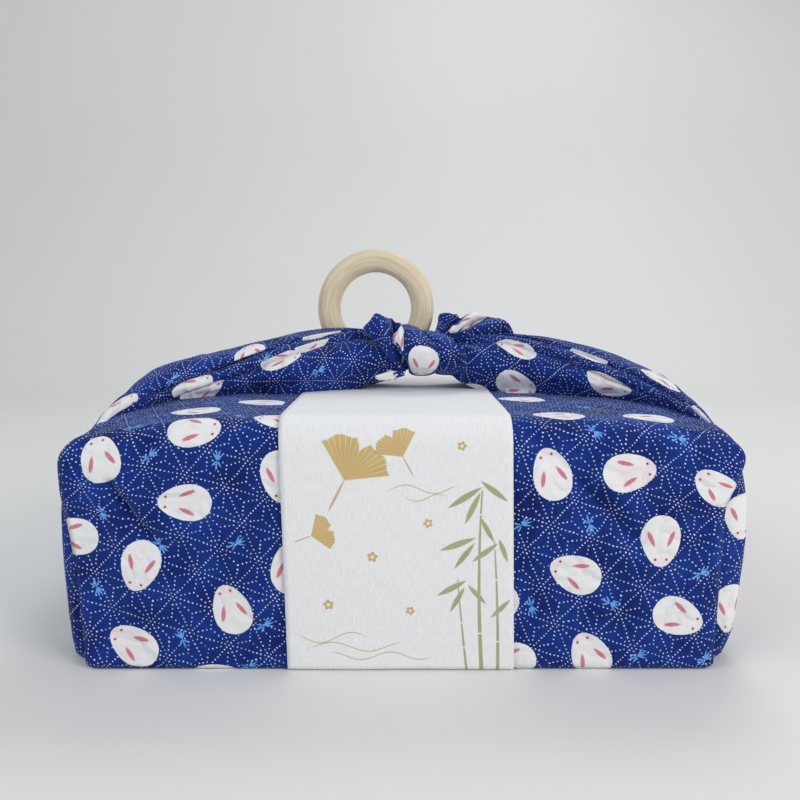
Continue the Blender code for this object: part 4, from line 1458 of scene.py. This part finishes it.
def white_paper():
    n = Nodes("white_paper")
    chart = n.chart("print")
    u, v, _ = n.parts(chart)
    fibre = n.noise(n.vector("MULTIPLY", chart, (1.6, 0.22, 1.0)), 1.0, 4.0, 0.6)
    tooth = n.noise(chart, 3.0, 3.0, 0.6)
    colour = n.mix(n.span(fibre, 0.3, 0.7), *colours(PAPER_WHITES))

    fans = [fan_leaf(n, u, v, leaf) for leaf in FAN_LEAVES]
    lines = [flowing_line(n, u, v, flow) for flow in FLOWING_LINES]
    flowers = [blossom(n, u, v, place) for place in BLOSSOMS]
    stems = [bamboo_stem(n, u, v, stem) for stem in BAMBOO_STEMS]
    leaves = [blade_leaf(n, u, v, leaf) for leaf in BAMBOO_LEAVES]
    press = n.span(tooth, 0.2, 0.6, 0.75, 0.97)
    gold = n.mix(n.noise(chart, 0.12, 3.0), *colours(GOLDS))
    olive = n.mix(n.noise(chart, 0.10, 3.0), *colours(OLIVES))
    colour = n.mix(n.times(union(n, stems + leaves), press), colour, olive)
    colour = n.mix(n.times(union(n, lines + flowers), press), colour, gold)
    for mask, veins in fans:
        inked = n.mix(n.times(veins, 0.8), gold, srgb(*VEIN_CREAM))
        colour = n.mix(n.times(mask, press), colour, inked)
    normal = n.bump(fibre, 0.00022, 0.5)
    normal = n.bump(tooth, 0.00006, 0.4, normal)
    return n.finish(colour, 0.82, normal, **{"Specular IOR Level": 0.25})


def pale_wood():
    n = Nodes("pale_wood")
    place = n.add("ShaderNodeTexCoord").outputs["Object"]
    centre = (RING_PLACE[0] + BOX_TO_ORIGIN_X, RING_PLACE[1], RING_PLACE[2])
    local = n.vector("SUBTRACT", place, centre)
    x, y, z = n.parts(local)
    radius = n.vector("LENGTH", n.join(x, 0.0, z))
    angle = n.math("ARCTAN2", z, x)
    bend = n.times(n.minus(n.noise(local, 45.0, 2.0), 0.5), 0.0016)
    out = n.times(n.plus(radius, bend), 900.0)
    rings = n.join(out, n.times(y, 500.0), n.times(angle, 1.2))
    grain = n.noise(rings, 1.0, 3.0, 0.6)
    flecks = n.noise(n.vector("MULTIPLY", rings, (2.4, 2.4, 1.5)), 1.0, 2.0)
    colour = n.mix(n.span(grain, 0.35, 0.65), *colours(WOODS))
    colour = n.mix(n.span(flecks, 0.60, 0.78, 0.0, 0.5), colour, srgb(*WOOD_FLECK))
    rough = n.span(grain, 0.3, 0.7, 0.48, 0.62)
    normal = n.bump(grain, 0.00015, 0.4)
    return n.finish(colour, rough, normal, **{"Specular IOR Level": 0.4})


def pale_floor():
    n = Nodes("pale_floor")
    place = n.add("ShaderNodeTexCoord").outputs["Object"]
    tone = n.noise(place, 3.0, 3.0)
    colour = n.mix(tone, *colours(FLOORS))
    return n.finish(colour, 0.7, None, **{"Specular IOR Level": 0.2})


def floor_and_wall():
    """A floor that sweeps up into a wall behind the parcel, with a wide soft bend."""
    run = [(-FLOOR_REACH, 0.0), (SWEEP_START, 0.0)]
    for step in range(1, SWEEP_STEPS + 1):
        turn = step / SWEEP_STEPS * math.pi / 2
        run.append((SWEEP_START + SWEEP_RADIUS * math.sin(turn), SWEEP_RADIUS * (1 - math.cos(turn))))
    run.append((SWEEP_START + SWEEP_RADIUS, WALL_TOP))
    points = [(side * FLOOR_REACH, y, z) for y, z in run for side in (-1, 1)]
    quads = [(2 * i, 2 * i + 1, 2 * i + 3, 2 * i + 2) for i in range(len(run) - 1)]
    mesh = bpy.data.meshes.new("studio_floor")
    mesh.from_pydata(points, [], quads)
    mesh.shade_smooth()
    floor = bpy.data.objects.new("studio_floor", mesh)
    bpy.context.scene.collection.objects.link(floor)
    floor.data.materials.append(pale_floor())


def area_light(light):
    data = bpy.data.lights.new(light.name, "AREA")
    data.shape = "RECTANGLE"
    data.size, data.size_y = light.size
    data.energy = light.power
    data.color = light.tint
    lamp = bpy.data.objects.new(light.name, data)
    lamp.location = light.place
    way = Vector(LIT_PLACE) - Vector(light.place)
    lamp.rotation_euler = way.to_track_quat("-Z", "Y").to_euler()
    bpy.context.scene.collection.objects.link(lamp)


def studio():
    scene = bpy.context.scene
    scene.view_settings.view_transform = "Standard"
    world = bpy.data.worlds.new("studio_air")
    world.use_nodes = True
    air = world.node_tree.nodes["Background"]
    air.inputs[0].default_value = AIR_TINT
    air.inputs[1].default_value = AIR_STRENGTH
    scene.world = world
    for light in LIGHTS:
        area_light(light)


def camera():
    data = bpy.data.cameras.new("photo_camera")
    data.lens = LENS_MM
    data.sensor_width = 36
    data.clip_start = 0.01
    eye = bpy.data.objects.new("photo_camera", data)
    eye.location = CAMERA_PLACE
    eye.rotation_euler = (math.radians(90 - CAMERA_DOWN), 0, 0)
    bpy.context.scene.collection.objects.link(eye)
    bpy.context.scene.camera = eye


def main():
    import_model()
    camera()
    studio()
    floor_and_wall()

    wrap = cloth()
    band = belly_band()
    ring = turned_ring()
    looks = (
        (wrap, "wrap_cloth", "printed_cotton", printed_cotton()),
        (band, "paper_band", "white_paper", white_paper()),
        (ring, "wooden_ring", "pale_wood", pale_wood()),
    )
    for piece, node, slot, material in looks:
        piece.data.materials.append(material)
        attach(piece, "root")
        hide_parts(node)


main()
